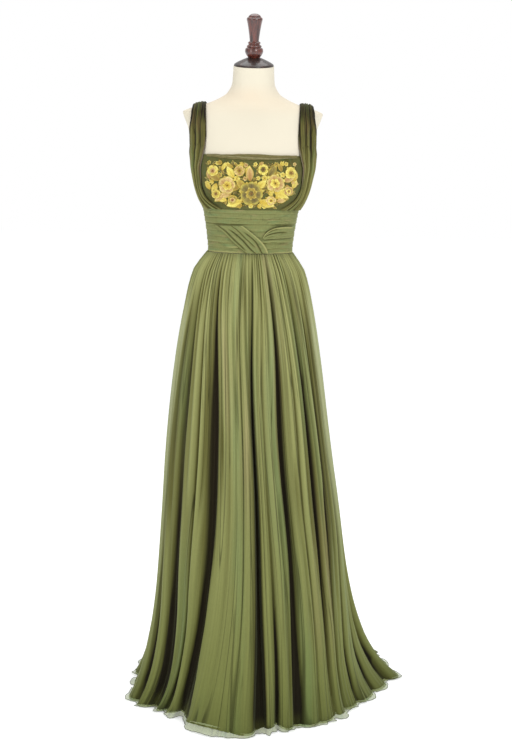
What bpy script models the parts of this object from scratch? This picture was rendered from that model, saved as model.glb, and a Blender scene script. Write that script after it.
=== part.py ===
"""Long evening gown on a limbless dress form.

The gown has a gathered chiffon skirt, a pleated midriff with two crossed drapes, a bodice with
raised floral applique and two gathered shoulder straps.

Units are metres, +Z is up and the gown faces -Y. The origin is on the floor, on the axis of the
stand's pole. A turn is a direction round that axis in degrees: 0 is the front, +90 is +X and
180 is the back.
"""

import math
from bisect import bisect_right
from collections import namedtuple

import bmesh
import bpy
from mathutils import Matrix, Vector
from mathutils.bvhtree import BVHTree

# Heights above the floor
HEM_Z = 0.0015
WAIST_Z = 1.1975
BAND_TOP_Z = 1.3125
BUST_Z = 1.385
NECKLINE_Z = 1.450
BACK_NECKLINE_Z = 1.405
SHOULDER_AXIS_Z = 1.500
NECK_TOP_Z = 1.678

# Clearances and cloth
SEAM_GAP = 0.0003
SKIN_GAP = 0.0011
CLOTH = 0.0015
BODICE_GAP = 0.0014
MIDRIFF_CLOTH = 0.0020
WALL_SLOPE_LIMIT = 2.2
SIDE_SEAM_TURN = 78.0
SECTION_POWER = 2.3

# Pleated band: each pleat rises to its crest over this share of its pitch, then falls back
PLEATS = 8
PLEAT_HEIGHT = 0.0011
PLEAT_CREST = 0.8
BAND_FRONT_COLUMNS = 14
BAND_BACK_COLUMNS = 18

# Dress form: half width and depths of each level, how far it leans back and how its plane tips
Section = namedtuple("Section", "z half_width front back lean tip")
FORM = [
    Section(1.020, 0.1380, 0.098, 0.112, 0.000, 0.0),
    Section(1.060, 0.1350, 0.096, 0.109, 0.000, 0.0),
    Section(1.110, 0.1240, 0.090, 0.100, 0.000, 0.0),
    Section(1.155, 0.1125, 0.085, 0.090, 0.000, 0.0),
    Section(1.200, 0.1075, 0.083, 0.086, 0.000, 0.0),
    Section(1.245, 0.1115, 0.088, 0.091, 0.000, 0.0),
    Section(1.290, 0.1185, 0.097, 0.097, 0.000, 0.0),
    Section(1.330, 0.1265, 0.108, 0.102, 0.000, 0.0),
    Section(1.370, 0.1370, 0.117, 0.107, 0.000, 0.0),
    Section(1.410, 0.1460, 0.118, 0.111, 0.000, 0.0),
    Section(1.450, 0.1550, 0.110, 0.114, 0.001, 0.0),
    Section(1.490, 0.1620, 0.096, 0.114, 0.003, 0.0),
    Section(1.520, 0.1690, 0.082, 0.109, 0.005, 0.0),
    Section(1.545, 0.1790, 0.068, 0.094, 0.006, 0.0),
    Section(1.558, 0.1825, 0.060, 0.080, 0.005, 0.0),
    Section(1.569, 0.1600, 0.055, 0.070, 0.004, 1.0),
    Section(1.581, 0.1190, 0.052, 0.064, 0.002, 2.0),
    Section(1.593, 0.0910, 0.051, 0.060, 0.000, 4.0),
    Section(1.608, 0.0680, 0.050, 0.056, -0.002, 5.5),
    Section(1.635, 0.0550, 0.049, 0.053, -0.005, 7.5),
    Section(NECK_TOP_Z, 0.0525, 0.051, 0.051, -0.008, 9.0),
]
FORM_COLUMNS = 32
GUIDE_COLUMNS = 256
FORM_STEP = 0.028
BUST_RISE = 0.009
BUST_X = 0.062
BUST_SPREAD = 0.040

# Skirt: the outline round the crests of its folds, to the sides, front and back
Outline = namedtuple("Outline", "z left right front back")
SKIRT = [
    Outline(WAIST_Z - SEAM_GAP, 0.1145, 0.1135, 0.0895, 0.0925),
    Outline(1.150, 0.1490, 0.1460, 0.1130, 0.1150),
    Outline(1.070, 0.1700, 0.1680, 0.1390, 0.1410),
    Outline(0.930, 0.1930, 0.1940, 0.1690, 0.1720),
    Outline(0.720, 0.2140, 0.2260, 0.2090, 0.2160),
    Outline(0.500, 0.2260, 0.2610, 0.2490, 0.2620),
    Outline(0.300, 0.2380, 0.2880, 0.2950, 0.3200),
    Outline(0.140, 0.2590, 0.3230, 0.3400, 0.3900),
    Outline(0.055, 0.2800, 0.3620, 0.3640, 0.4380),
    Outline(HEM_Z, 0.3020, 0.4030, 0.3800, 0.4750),
]

# How far the hem swings in or out of its outline, as a share of its radius, in each direction
Swing = namedtuple("Swing", "turn share")
HEM_SWINGS = [
    Swing(-180, 0.00), Swing(-140, 0.03), Swing(-110, 0.02), Swing(-84, 0.00), Swing(-67, 0.03),
    Swing(-50, -0.09), Swing(-36, -0.16), Swing(-26, -0.09), Swing(-15, -0.01), Swing(-5, 0.00),
    Swing(8, 0.00), Swing(17, -0.10), Swing(30, -0.12), Swing(45, -0.14), Swing(60, -0.17),
    Swing(75, -0.13), Swing(90, -0.02), Swing(109, 0.13), Swing(130, 0.11), Swing(152, 0.05),
    Swing(180, 0.00),
]
SWING_TOP_Z = 0.50

# Folds: the turn of each valley at the waist, thigh and hem, and its depth at the hip, knee and
# hem. The first and last of the front are the side seams, and the back starts and ends there.
# The back is cut in three panels, seamed in the valley that runs down from the centre of the waist
# and in one between there and the left side seam.
Fold = namedtuple("Fold", "waist thigh hem hip_depth knee_depth hem_depth")
FRONT_FOLDS = [
    Fold(-78, -86, -84, 0.004, 0.010, 0.014),
    Fold(-69, -70, -52, 0.006, 0.014, 0.022),
    Fold(-58, -52, -42, 0.009, 0.022, 0.030),
    Fold(-49, -37, -32, 0.007, 0.016, 0.022),
    Fold(-40, -26, -23, 0.012, 0.028, 0.036),
    Fold(-27, -14, -12, 0.006, 0.005, 0.007),
    Fold(-12, -4, -1, 0.010, 0.009, 0.007),
    Fold(4, 6, 10, 0.015, 0.036, 0.040),
    Fold(13, 14, 17, 0.004, 0.009, 0.024),
    Fold(23, 27, 25, 0.013, 0.027, 0.024),
    Fold(34, 38, 37, 0.006, 0.010, 0.015),
    Fold(45, 48, 46, 0.012, 0.024, 0.023),
    Fold(56, 57, 56, 0.007, 0.020, 0.026),
    Fold(67, 69, 70, 0.007, 0.013, 0.024),
    Fold(78, 84, 86, 0.005, 0.016, 0.022),
]
BACK_FOLDS = [
    Fold(78, 84, 86, 0.005, 0.016, 0.022),
    Fold(91, 97, 99, 0.008, 0.020, 0.030),
    Fold(103, 109, 112, 0.011, 0.026, 0.034),
    Fold(116, 121, 124, 0.006, 0.014, 0.024),
    Fold(128, 133, 137, 0.012, 0.028, 0.036),
    Fold(143, 147, 150, 0.008, 0.018, 0.026),
    Fold(161, 161, 163, 0.012, 0.026, 0.034),
    Fold(180, 174, 176, 0.007, 0.016, 0.024),
    Fold(192, 187, 189, 0.011, 0.025, 0.031),
    Fold(201, 199, 202, 0.007, 0.014, 0.020),
    Fold(214, 212, 215, 0.010, 0.022, 0.028),
    Fold(228, 225, 229, 0.007, 0.014, 0.020),
    Fold(243, 240, 244, 0.010, 0.020, 0.026),
    Fold(262, 257, 260, 0.008, 0.018, 0.024),
    Fold(282, 274, 276, 0.004, 0.010, 0.014),
]
BACK_PANELS = {
    "skirt_back_right": (0, 7),
    "skirt_back_left": (7, 11),
    "skirt_side_left": (11, 14),
}
THIGH_Z = 0.80
HIP_Z = 1.10
KNEE_Z = 0.60
FOLD_ROUNDNESS = 0.55
CREST_PHASE = 2.4
FOLD_SHARES = (0.0, 0.11, 0.29, 0.50, 0.71, 0.89)
GATHER_SHARES = (0.0, 0.17, 0.33, 0.50, 0.67, 0.83)
GATHER_DEPTH = 0.0022
GATHER_END_Z = 0.90
GATHER_FULL_Z = 1.14
CREST_DROP = 0.010

# Straps: each station is a ray from a point inside the form, tipped up from the front over the
# shoulder to the back, with the strap's inner and outer edge along it, and how far the outer
# edge stands off the form. Between two heights in front and behind, it leaves the bodice's
# edge and comes down onto the form.
Station = namedtuple("Station", "z tip inner outer stand_off")
STRAP = [
    Station(1.3135, 0, 0.070, 0.1170, 0.006),
    Station(1.328, 0, 0.096, 0.1225, 0.009),
    Station(1.348, 0, 0.115, 0.1290, 0.012),
    Station(1.380, 0, 0.125, 0.1370, 0.015),
    Station(1.415, 0, 0.127, 0.1450, 0.015),
    Station(1.448, 0, 0.121, 0.1510, 0.012),
    Station(1.474, 0, 0.118, 0.1555, 0.009),
    Station(SHOULDER_AXIS_Z, 0, 0.117, 0.1575, 0.007),
    Station(SHOULDER_AXIS_Z, 30, 0.118, 0.1580, 0.006),
    Station(SHOULDER_AXIS_Z, 60, 0.120, 0.1560, 0.005),
    Station(SHOULDER_AXIS_Z, 90, 0.121, 0.1540, 0.004),
    Station(SHOULDER_AXIS_Z, 120, 0.120, 0.1550, 0.004),
    Station(SHOULDER_AXIS_Z, 150, 0.116, 0.1560, 0.003),
    Station(SHOULDER_AXIS_Z, 180, 0.112, 0.1530, 0.002),
    Station(1.455, 180, 0.104, 0.1440, 0.002),
    Station(1.410, 180, 0.095, 0.1340, 0.002),
    Station(1.362, 180, 0.083, 0.1230, 0.002),
    Station(1.3135, 180, 0.070, 0.1130, 0.002),
]
STRAP_STAND_OFF = {"strap_left": 0.5, "strap_right": 1.0}
Pleat = namedtuple("Pleat", "across height")
STRAP_PLEATS = [
    Pleat(0.00, 0.0016), Pleat(0.10, 0.0048), Pleat(0.24, 0.0052), Pleat(0.35, 0.0022),
    Pleat(0.50, 0.0062), Pleat(0.65, 0.0020), Pleat(0.78, 0.0058), Pleat(0.92, 0.0050),
    Pleat(1.00, 0.0018),
]
STRAP_TIP_STEP = 20
STRAP_SHOULDER_SWELL = 0.55
STRAP_OVER_BODICE = 0.0044
STRAP_OVER_SHOULDER = 0.0026
STRAP_ON_FORM_Z = {0: (1.452, 1.475), 180: (1.412, 1.450)}

# Drapes on the front of the band: low and high edge of each station along them
Slip = namedtuple("Slip", "x_low z_low x_high z_high")
DRAPE_LEFT = [
    Slip(-0.091, 1.2700, -0.020, 1.2715),
    Slip(-0.072, 1.2560, -0.001, 1.2570),
    Slip(-0.056, 1.2400, 0.017, 1.2420),
    Slip(-0.040, 1.2240, 0.032, 1.2270),
    Slip(-0.024, 1.2095, 0.041, 1.2125),
    Slip(-0.010, 1.1985, 0.046, 1.1985),
]
DRAPE_RIGHT = [
    Slip(0.103, 1.2385, 0.103, 1.2700),
    Slip(0.088, 1.2375, 0.086, 1.2710),
    Slip(0.072, 1.2370, 0.067, 1.2700),
    Slip(0.056, 1.2365, 0.049, 1.2630),
    Slip(0.044, 1.2360, 0.037, 1.2520),
    Slip(0.036, 1.2355, 0.030, 1.2400),
]
DRAPE_COLUMNS = 8
DRAPE_FOLDS = 3
DRAPE_FOLD_HEIGHT = 0.0022
DRAPE_CLOTH = 0.0012

# Applique on the bodice: blossoms with round petals, and leaves
Blossom = namedtuple("Blossom", "x z radius petals height")
Leaf = namedtuple("Leaf", "x z length width slant height")
BLOSSOMS = [
    Blossom(0.000, 1.356, 0.0330, 6, 0.0030),
    Blossom(-0.062, 1.372, 0.0215, 5, 0.0026),
    Blossom(0.061, 1.380, 0.0225, 5, 0.0026),
    Blossom(-0.094, 1.410, 0.0150, 5, 0.0022),
    Blossom(0.097, 1.408, 0.0150, 5, 0.0022),
    Blossom(-0.030, 1.412, 0.0140, 5, 0.0020),
    Blossom(0.027, 1.418, 0.0130, 5, 0.0020),
]
LEAVES = [
    Leaf(-0.036, 1.335, 0.038, 0.015, 20, 0.0022),
    Leaf(0.040, 1.336, 0.038, 0.015, -20, 0.0022),
    Leaf(-0.070, 1.343, 0.030, 0.013, -35, 0.0020),
    Leaf(0.073, 1.346, 0.030, 0.013, 35, 0.0020),
    Leaf(-0.098, 1.380, 0.026, 0.012, 70, 0.0020),
    Leaf(0.100, 1.378, 0.026, 0.012, -70, 0.0020),
    Leaf(-0.060, 1.404, 0.024, 0.011, 25, 0.0018),
    Leaf(0.060, 1.412, 0.024, 0.011, -25, 0.0018),
    Leaf(0.000, 1.405, 0.026, 0.012, 90, 0.0020),
]
PETAL_EDGE = 0.12
APPLIQUE_EDGE_X = 0.116
APPLIQUE_CLEAR = 0.008
APPLIQUE_FADE = 0.010

# Bodice and the soft strip along its neckline
BODICE_COLUMNS = 42
BODICE_ROWS = 15
BODICE_DENSE_TURN = 62.0
BODICE_SIDE_COLUMNS = 3
BODICE_BACK_COLUMNS = 18
BODICE_BACK_ROWS = 5
NECKLINE_DIP_TURN = 58.0
BINDING_HEIGHT = 0.015
BINDING_EDGE_TURN = 54.0
BINDING_COLUMNS = 20
BINDING_CLOTH = 0.0012
BINDING_ROLL = 0.0008
BINDING_RIPPLE = 0.0012
BINDING_END_SHARE = 0.45

# Turned pieces, as radius and height along their own axis
CAP_PROFILE = [
    (0.0, 0.0), (0.0505, 0.0), (0.0515, 0.0015), (0.0510, 0.0035), (0.0440, 0.0085),
    (0.0340, 0.0135), (0.0240, 0.0180), (0.0165, 0.0205), (0.0, 0.0205),
]
FINIAL_PROFILE = [
    (0.0, 0.0), (0.0150, 0.0), (0.0160, 0.0020), (0.0205, 0.0075), (0.0235, 0.0165),
    (0.0222, 0.0235), (0.0180, 0.0265), (0.0195, 0.0290), (0.0170, 0.0320), (0.0145, 0.0345),
    (0.0165, 0.0375), (0.0150, 0.0400), (0.0118, 0.0430), (0.0140, 0.0620), (0.0180, 0.0860),
    (0.0205, 0.0975), (0.0195, 0.1010), (0.0170, 0.1025), (0.0150, 0.1060), (0.0070, 0.1110),
    (0.0, 0.1120),
]
TURNED_SIDES = 14
CAP_SIDES = 24
POLE_RADIUS = 0.016
BASE_RADIUS = 0.160
BASE_HEIGHT = 0.020
BASE_EDGE = 0.004

# Colour (linear), roughness and metallic value of each material
FINISHES = {
    "chiffon": ((0.285, 0.325, 0.120), 0.75, 0.0),
    "chiffon_dark": ((0.150, 0.175, 0.065), 0.75, 0.0),
    "binding": ((0.230, 0.205, 0.110), 0.70, 0.0),
    "embroidery": ((0.420, 0.330, 0.060), 0.55, 0.0),
    "form_cloth": ((0.890, 0.830, 0.680), 0.85, 0.0),
    "mahogany": ((0.110, 0.025, 0.015), 0.25, 0.0),
    "cap_wood": ((0.030, 0.010, 0.008), 0.35, 0.0),
    "steel": ((0.550, 0.550, 0.550), 0.35, 1.0),
}


def clear_scene():
    for obj in list(bpy.data.objects):
        bpy.data.objects.remove(obj, do_unlink=True)


def material(name):
    found = bpy.data.materials.get(name)
    if found:
        return found
    made = bpy.data.materials.new(name)
    made.use_nodes = True
    colour, roughness, metallic = FINISHES[name]
    shader = made.node_tree.nodes["Principled BSDF"]
    shader.inputs["Base Color"].default_value = (*colour, 1.0)
    shader.inputs["Roughness"].default_value = roughness
    shader.inputs["Metallic"].default_value = metallic
    return made


def smoothstep(low, high, value):
    share = min(1.0, max(0.0, (value - low) / (high - low)))
    return share * share * (3 - 2 * share)


def mix(first, second, share):
    return first + (second - first) * share


def curve(xs, ys, x):
    """A smooth curve through the points that never overshoots them; xs rise."""
    x = min(max(x, xs[0]), xs[-1])
    k = min(max(bisect_right(xs, x) - 1, 0), len(xs) - 2)

    def slope(i):
        if i <= 0 or i >= len(xs) - 1:
            j = min(max(i, 1), len(xs) - 1)
            return (ys[j] - ys[j - 1]) / (xs[j] - xs[j - 1])
        before = (ys[i] - ys[i - 1]) / (xs[i] - xs[i - 1])
        after = (ys[i + 1] - ys[i]) / (xs[i + 1] - xs[i])
        if before * after <= 0:
            return 0.0
        return 2 * before * after / (before + after)

    step = xs[k + 1] - xs[k]
    t = (x - xs[k]) / step
    return (
        ys[k] * (1 + 2 * t) * (1 - t) ** 2
        + slope(k) * step * t * (1 - t) ** 2
        + ys[k + 1] * t * t * (3 - 2 * t)
        - slope(k + 1) * step * t * t * (1 - t)
    )


def level(table, z):
    """The table's row at height z, each named column read off a smooth curve."""
    rows = sorted(table)
    heights = [row.z for row in rows]
    columns = [[getattr(row, name) for row in rows] for name in rows[0]._fields]
    return type(rows[0])(*(curve(heights, column, z) for column in columns))


def oval_radius(turn, left, right, front, back, power=SECTION_POWER):
    """Radius of a squarish oval in the direction of the turn, in degrees."""
    across, ahead = math.sin(math.radians(turn)), math.cos(math.radians(turn))
    wide = abs(across) / (right if across > 0 else left)
    deep = abs(ahead) / (front if ahead > 0 else back)
    return (wide**power + deep**power) ** (-1 / power)


def polar(turn, radius, z):
    angle = math.radians(turn)
    return Vector((radius * math.sin(angle), -radius * math.cos(angle), z))


def add_object(name, mesh_name, finish, vertices, faces, smooth_angle=35):
    mesh = bpy.data.meshes.new(mesh_name)
    mesh.from_pydata([tuple(v) for v in vertices], [], faces)
    work = bmesh.new()
    work.from_mesh(mesh)
    bmesh.ops.recalc_face_normals(work, faces=work.faces)
    work.to_mesh(mesh)
    work.free()
    mesh.materials.append(material(finish))
    mesh.shade_smooth()
    mesh.set_sharp_from_angle(angle=math.radians(smooth_angle))
    obj = bpy.data.objects.new(name, mesh)
    bpy.context.scene.collection.objects.link(obj)
    return obj


def add_wall(name, finish, outer, inner):
    """A closed wall between two grids of points with the same rows and columns."""
    rows, columns = len(outer), len(outer[0])
    vertices = [point for grid in (outer, inner) for row in grid for point in row]

    def index(side, row, column):
        return (side * rows + row) * columns + column

    faces = []
    for side in (0, 1):
        for r in range(rows - 1):
            for c in range(columns - 1):
                quad = [index(side, r, c), index(side, r, c + 1)]
                quad += [index(side, r + 1, c + 1), index(side, r + 1, c)]
                faces.append(quad if side == 0 else quad[::-1])
    rim = [(0, c) for c in range(columns)] + [(r, columns - 1) for r in range(1, rows)]
    rim += [(rows - 1, c) for c in range(columns - 2, -1, -1)]
    rim += [(r, 0) for r in range(rows - 2, 0, -1)]
    for here, there in zip(rim, rim[1:] + rim[:1]):
        faces.append([index(0, *there), index(0, *here), index(1, *here), index(1, *there)])
    return add_object(name, name, finish, vertices, faces)


def add_turned(name, finish, profile, sides, placement=None):
    """A solid turned about Z from (radius, height) points that start and end on the axis."""
    rings = [[Vector((0, 0, profile[0][1]))]]
    for radius, height in profile[1:-1]:
        turns = [360 * k / sides for k in range(sides)]
        rings.append([polar(turn, radius, height) for turn in turns])
    rings.append([Vector((0, 0, profile[-1][1]))])
    vertices = [point for ring in rings for point in ring]
    last = len(vertices) - 1
    faces = []
    for k in range(sides):
        k_next = (k + 1) % sides
        faces.append([0, 1 + k_next, 1 + k])
        for r in range(len(profile) - 3):
            low, high = 1 + r * sides, 1 + (r + 1) * sides
            faces.append([low + k, low + k_next, high + k_next, high + k])
        top = 1 + (len(profile) - 3) * sides
        faces.append([top + k, top + k_next, last])
    if placement:
        vertices = [placement @ point for point in vertices]
    return add_object(name, name, finish, vertices, faces)


def signed_power(value, power):
    return math.copysign(abs(value) ** power, value)


def bust_rise(x, z):
    across = (abs(x) - BUST_X) / BUST_SPREAD
    up = (z - BUST_Z) / BUST_SPREAD
    return BUST_RISE * math.exp(-across * across - up * up)


def form_ring(z, columns):
    section = level(FORM, z)
    ring = []
    for k in range(columns):
        angle = 2 * math.pi * k / columns
        across, ahead = math.sin(angle), math.cos(angle)
        x = section.half_width * signed_power(across, 2 / SECTION_POWER)
        depth = section.front if ahead > 0 else section.back
        y = -depth * signed_power(ahead, 2 / SECTION_POWER)
        if ahead > 0:
            y -= bust_rise(x, z) * smoothstep(0, 0.35, ahead)
        rise = (y * math.tan(math.radians(section.tip))) if section.tip else 0.0
        ring.append(Vector((x, y + section.lean, z + rise)))
    return ring


def form_heights():
    """Heights of the form's rings: each of the table's, with more between those far apart."""
    heights = []
    for low, high in zip(FORM, FORM[1:]):
        apart = math.hypot(high.z - low.z, high.half_width - low.half_width)
        pieces = max(1, round(apart / FORM_STEP))
        heights += [mix(low.z, high.z, k / pieces) for k in range(pieces)]
    return heights + [FORM[-1].z]


def form_shape(columns):
    heights = form_heights()
    vertices = [point for z in heights for point in form_ring(z, columns)]
    faces = []
    for r in range(len(heights) - 1):
        for k in range(columns):
            k_next = (k + 1) % columns
            low, high = r * columns, (r + 1) * columns
            faces.append([low + k, low + k_next, high + k_next, high + k])
    top = (len(heights) - 1) * columns
    faces.append(list(range(columns))[::-1])
    faces.append([top + k for k in range(columns)])
    return vertices, faces


class FormSurface:
    """The form's smooth surface, which the cloth on it is laid against."""

    def __init__(self):
        vertices, faces = form_shape(GUIDE_COLUMNS)
        self.tree = BVHTree.FromPolygons(vertices, faces)

    def laid(self, start, direction, lift):
        """Where a ray from inside the form leaves it, moved out by the lift."""
        point, normal, _, _ = self.tree.ray_cast(start, direction)
        if normal.dot(direction) < 0:
            normal = -normal
        return point + normal * lift

    def round(self, turn, z, lift):
        return self.laid(Vector((0, 0, z)), polar(turn, 1, 0), lift)

    def ahead(self, x, z, lift):
        return self.laid(Vector((x, 0, z)), Vector((0, -1, 0)), lift)


def build_form():
    vertices, faces = form_shape(FORM_COLUMNS)
    return add_object("form_torso", "form_torso", "form_cloth", vertices, faces, 50)


def neck_placement(height):
    """Frame on the tipped top of the neck, this far above it."""
    top = FORM[-1]
    tipped = Matrix.Rotation(math.radians(top.tip), 4, "X")
    return Matrix.Translation((0, top.lean, top.z)) @ tipped @ Matrix.Translation((0, 0, height))


def build_handle():
    seat = SEAM_GAP
    cap_height = CAP_PROFILE[-1][1]
    add_turned("neck_cap", "cap_wood", CAP_PROFILE, CAP_SIDES, neck_placement(seat))
    above_cap = neck_placement(seat + cap_height + SEAM_GAP)
    add_turned("finial", "mahogany", FINIAL_PROFILE, TURNED_SIDES, above_cap)


def build_stand():
    edge = BASE_RADIUS - BASE_EDGE
    base = [(0, 0), (BASE_RADIUS, 0), (BASE_RADIUS, BASE_HEIGHT - BASE_EDGE)]
    base += [(edge, BASE_HEIGHT), (0, BASE_HEIGHT)]
    add_turned("stand_base", "cap_wood", base, CAP_SIDES)
    low = BASE_HEIGHT + SEAM_GAP
    high = FORM[0].z - SEAM_GAP
    pole = [(0, low), (POLE_RADIUS, low), (POLE_RADIUS, high), (0, high)]
    add_turned("stand_pole", "steel", pole, TURNED_SIDES)


def petal_shape(blossom, x, z):
    """1 inside the blossom's petals, falling to 0 past their edges."""
    reach = math.hypot(x - blossom.x, z - blossom.z) / blossom.radius
    angle = math.atan2(z - blossom.z, x - blossom.x)
    edge = 0.82 + 0.18 * abs(math.cos(angle * blossom.petals / 2))
    body = smoothstep(edge + PETAL_EDGE, edge - PETAL_EDGE, reach)
    return body * (0.72 + 0.28 * smoothstep(0.45, 0.20, reach))


def leaf_shape(leaf, x, z):
    slant = math.radians(leaf.slant)
    along = (x - leaf.x) * math.cos(slant) + (z - leaf.z) * math.sin(slant)
    across = (z - leaf.z) * math.cos(slant) - (x - leaf.x) * math.sin(slant)
    share = 2 * along / leaf.length
    if abs(share) >= 1:
        return 0.0
    half = 0.5 * leaf.width * (1 - share * share)
    return smoothstep(1.35, 0.75, abs(across) / max(half, 1e-4))


def applique_rise(x, z):
    rises = [b.height * petal_shape(b, x, z) for b in BLOSSOMS]
    rises += [f.height * leaf_shape(f, x, z) for f in LEAVES]
    front = [station for station in STRAP if station.tip == 0]
    edge = curve([station.z for station in front], [station.inner for station in front], z)
    edge = min(edge, APPLIQUE_EDGE_X) - APPLIQUE_CLEAR
    inside = smoothstep(edge, edge - APPLIQUE_FADE, abs(x))
    inside *= smoothstep(BAND_TOP_Z, BAND_TOP_Z + APPLIQUE_FADE, z)
    top = NECKLINE_Z - BINDING_HEIGHT
    inside *= smoothstep(top, top - APPLIQUE_FADE, z)
    return max(rises) * inside


def seam_turn(turn, z, towards):
    """A turn at a side seam, moved by half the seam's gap towards the piece's own side."""
    at = level(SKIRT, z) if z < WAIST_Z else level(FORM, z)
    radius = oval_radius(turn, *at[1:5]) if z < WAIST_Z else at.half_width
    return turn + towards * math.degrees(0.5 * SEAM_GAP / radius)


def bodice_turn(column, side):
    """Turn of a column of the bodice's grid, which is finer in front than under the arms."""
    dense = BODICE_COLUMNS - 2 * BODICE_SIDE_COLUMNS
    from_middle = column - BODICE_COLUMNS / 2
    if abs(from_middle) <= dense / 2:
        return BODICE_DENSE_TURN * from_middle / (dense / 2)
    share = (abs(from_middle) - dense / 2) / BODICE_SIDE_COLUMNS
    return math.copysign(mix(BODICE_DENSE_TURN, side, share), from_middle)


def build_bodice(surface):
    bottom = BAND_TOP_Z + SEAM_GAP
    side = seam_turn(SIDE_SEAM_TURN, BUST_Z, -1)
    outer, inner = [], []
    for r in range(BODICE_ROWS + 1):
        outer.append([])
        inner.append([])
        for c in range(BODICE_COLUMNS + 1):
            turn = bodice_turn(c, side)
            dip = smoothstep(NECKLINE_DIP_TURN, SIDE_SEAM_TURN, abs(turn))
            top = mix(NECKLINE_Z, BACK_NECKLINE_Z, dip)
            z = mix(bottom, top, r / BODICE_ROWS)
            at = surface.round(turn, z, 0)
            rise = applique_rise(at.x, z)
            outer[r].append(surface.round(turn, z, BODICE_GAP + CLOTH + rise))
            inner[r].append(surface.round(turn, z, BODICE_GAP))
    add_wall("bodice_front", "embroidery", outer, inner)

    side = seam_turn(SIDE_SEAM_TURN, BUST_Z, 1)
    columns = BODICE_BACK_COLUMNS
    grids = [[], []]
    for r in range(BODICE_BACK_ROWS + 1):
        z = mix(bottom, BACK_NECKLINE_Z, r / BODICE_BACK_ROWS)
        turns = [mix(side, 360 - side, c / columns) for c in range(columns + 1)]
        for grid, lift in zip(grids, (BODICE_GAP + CLOTH, BODICE_GAP)):
            grid.append([surface.round(turn, z, lift) for turn in turns])
    add_wall("bodice_back", "chiffon_dark", *grids)


def build_binding(surface):
    """The soft strip lies on the bodice's upper edge and stands a little above it."""
    under = BODICE_GAP + CLOTH + 2 * SEAM_GAP
    grids = [[], []]
    for share in (0.0, 0.5, 1.0):
        rows = ([], [])
        cloth = BINDING_CLOTH + BINDING_ROLL * math.sin(math.pi * share)
        for c in range(BINDING_COLUMNS + 1):
            along = mix(-1, 1, c / BINDING_COLUMNS)
            turn = BINDING_EDGE_TURN * along
            deep = BINDING_HEIGHT * mix(BINDING_END_SHARE, 1.0, math.cos(1.5 * along) ** 2)
            high = NECKLINE_Z + BINDING_RIPPLE * (1 + math.cos(4.7 * along))
            z = mix(high - deep, high, share)
            rows[0].append(surface.round(turn, z, under + cloth))
            rows[1].append(surface.round(turn, z, under))
        for grid, row in zip(grids, rows):
            grid.append(row)
    add_wall("neckline_binding", "binding", *grids)


def pleat_rise(z):
    """Horizontal pleats of the band, each lapped over the one below it."""
    share = (PLEATS * (BAND_TOP_Z - z) / (BAND_TOP_Z - WAIST_Z)) % 1.0
    if share < PLEAT_CREST:
        return PLEAT_HEIGHT * share / PLEAT_CREST
    return PLEAT_HEIGHT * (1 - share) / (1 - PLEAT_CREST)


def build_midriff(surface):
    bottom, top = WAIST_Z + SEAM_GAP, BAND_TOP_Z
    pitch = (BAND_TOP_Z - WAIST_Z) / PLEATS
    highs = [top - k * pitch for k in range(PLEATS)]
    heights = sorted([bottom] + highs + [high - PLEAT_CREST * pitch for high in highs])
    front_side = seam_turn(SIDE_SEAM_TURN, BUST_Z, -1)
    back_side = seam_turn(SIDE_SEAM_TURN, BUST_Z, 1)
    spans = {
        "midriff_front": (-front_side, front_side, BAND_FRONT_COLUMNS),
        "midriff_back": (back_side, 360 - back_side, BAND_BACK_COLUMNS),
    }
    for name, (first, last, columns) in spans.items():
        grids = [[], []]
        for z in heights:
            turns = [mix(first, last, c / columns) for c in range(columns + 1)]
            lift = SKIN_GAP + MIDRIFF_CLOTH + pleat_rise(z)
            for grid, moved in zip(grids, (lift, SKIN_GAP)):
                grid.append([surface.round(turn, z, moved) for turn in turns])
        add_wall(name, "chiffon", *grids)


def build_drape(surface, name, slips):
    under = SKIN_GAP + MIDRIFF_CLOTH + PLEAT_HEIGHT + 2 * SEAM_GAP
    grids = [[], []]
    steps = 2 * (len(slips) - 1)
    for s in range(steps + 1):
        low, share = divmod(s, 2)
        here, there = slips[low], slips[min(low + 1, len(slips) - 1)]
        slip = Slip(*(mix(a, b, share / 2) for a, b in zip(here, there)))
        rows = ([], [])
        for c in range(DRAPE_COLUMNS + 1):
            across = c / DRAPE_COLUMNS
            x = mix(slip.x_low, slip.x_high, across)
            z = mix(slip.z_low, slip.z_high, across)
            fold = abs(math.sin(math.pi * DRAPE_FOLDS * (across * 0.9 + 0.05)))
            lift = under + DRAPE_CLOTH + DRAPE_FOLD_HEIGHT * fold
            rows[0].append(surface.ahead(x, z, lift))
            rows[1].append(surface.ahead(x, z, under))
        for grid, row in zip(grids, rows):
            grid.append(row)
    add_wall(name, "chiffon", *grids)


def strap_stations():
    """The strap's table, with more stations where it turns over the shoulder."""
    stations = []
    for here, there in zip(STRAP, STRAP[1:]):
        pieces = max(1, round((there.tip - here.tip) / STRAP_TIP_STEP))
        for k in range(pieces):
            stations.append(Station(*(mix(a, b, k / pieces) for a, b in zip(here, there))))
    return stations + [STRAP[-1]]


def build_strap(surface, name, side):
    grids = [[], []]
    for station in strap_stations():
        tip = math.radians(station.tip)
        direction = Vector((0, -math.cos(tip), math.sin(tip)))
        raised = math.sin(tip)
        if station.tip in STRAP_ON_FORM_Z:
            on_form = smoothstep(*STRAP_ON_FORM_Z[station.tip], station.z)
            under = mix(STRAP_OVER_BODICE, SKIN_GAP, on_form)
        else:
            under = mix(SKIN_GAP, STRAP_OVER_SHOULDER, min(1.0, 2 * raised))
        rows = ([], [])
        for pleat in STRAP_PLEATS:
            x = side * mix(station.inner, station.outer, pleat.across)
            start = Vector((x, 0, station.z))
            off = under + STRAP_STAND_OFF[name] * station.stand_off * pleat.across**2
            height = pleat.height * (1 + STRAP_SHOULDER_SWELL * raised)
            rows[0].append(surface.laid(start, direction, off + height))
            rows[1].append(surface.laid(start, direction, off))
        for grid, row in zip(grids, rows):
            grid.append(row)
    add_wall(name, "chiffon_dark", *grids)


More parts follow.
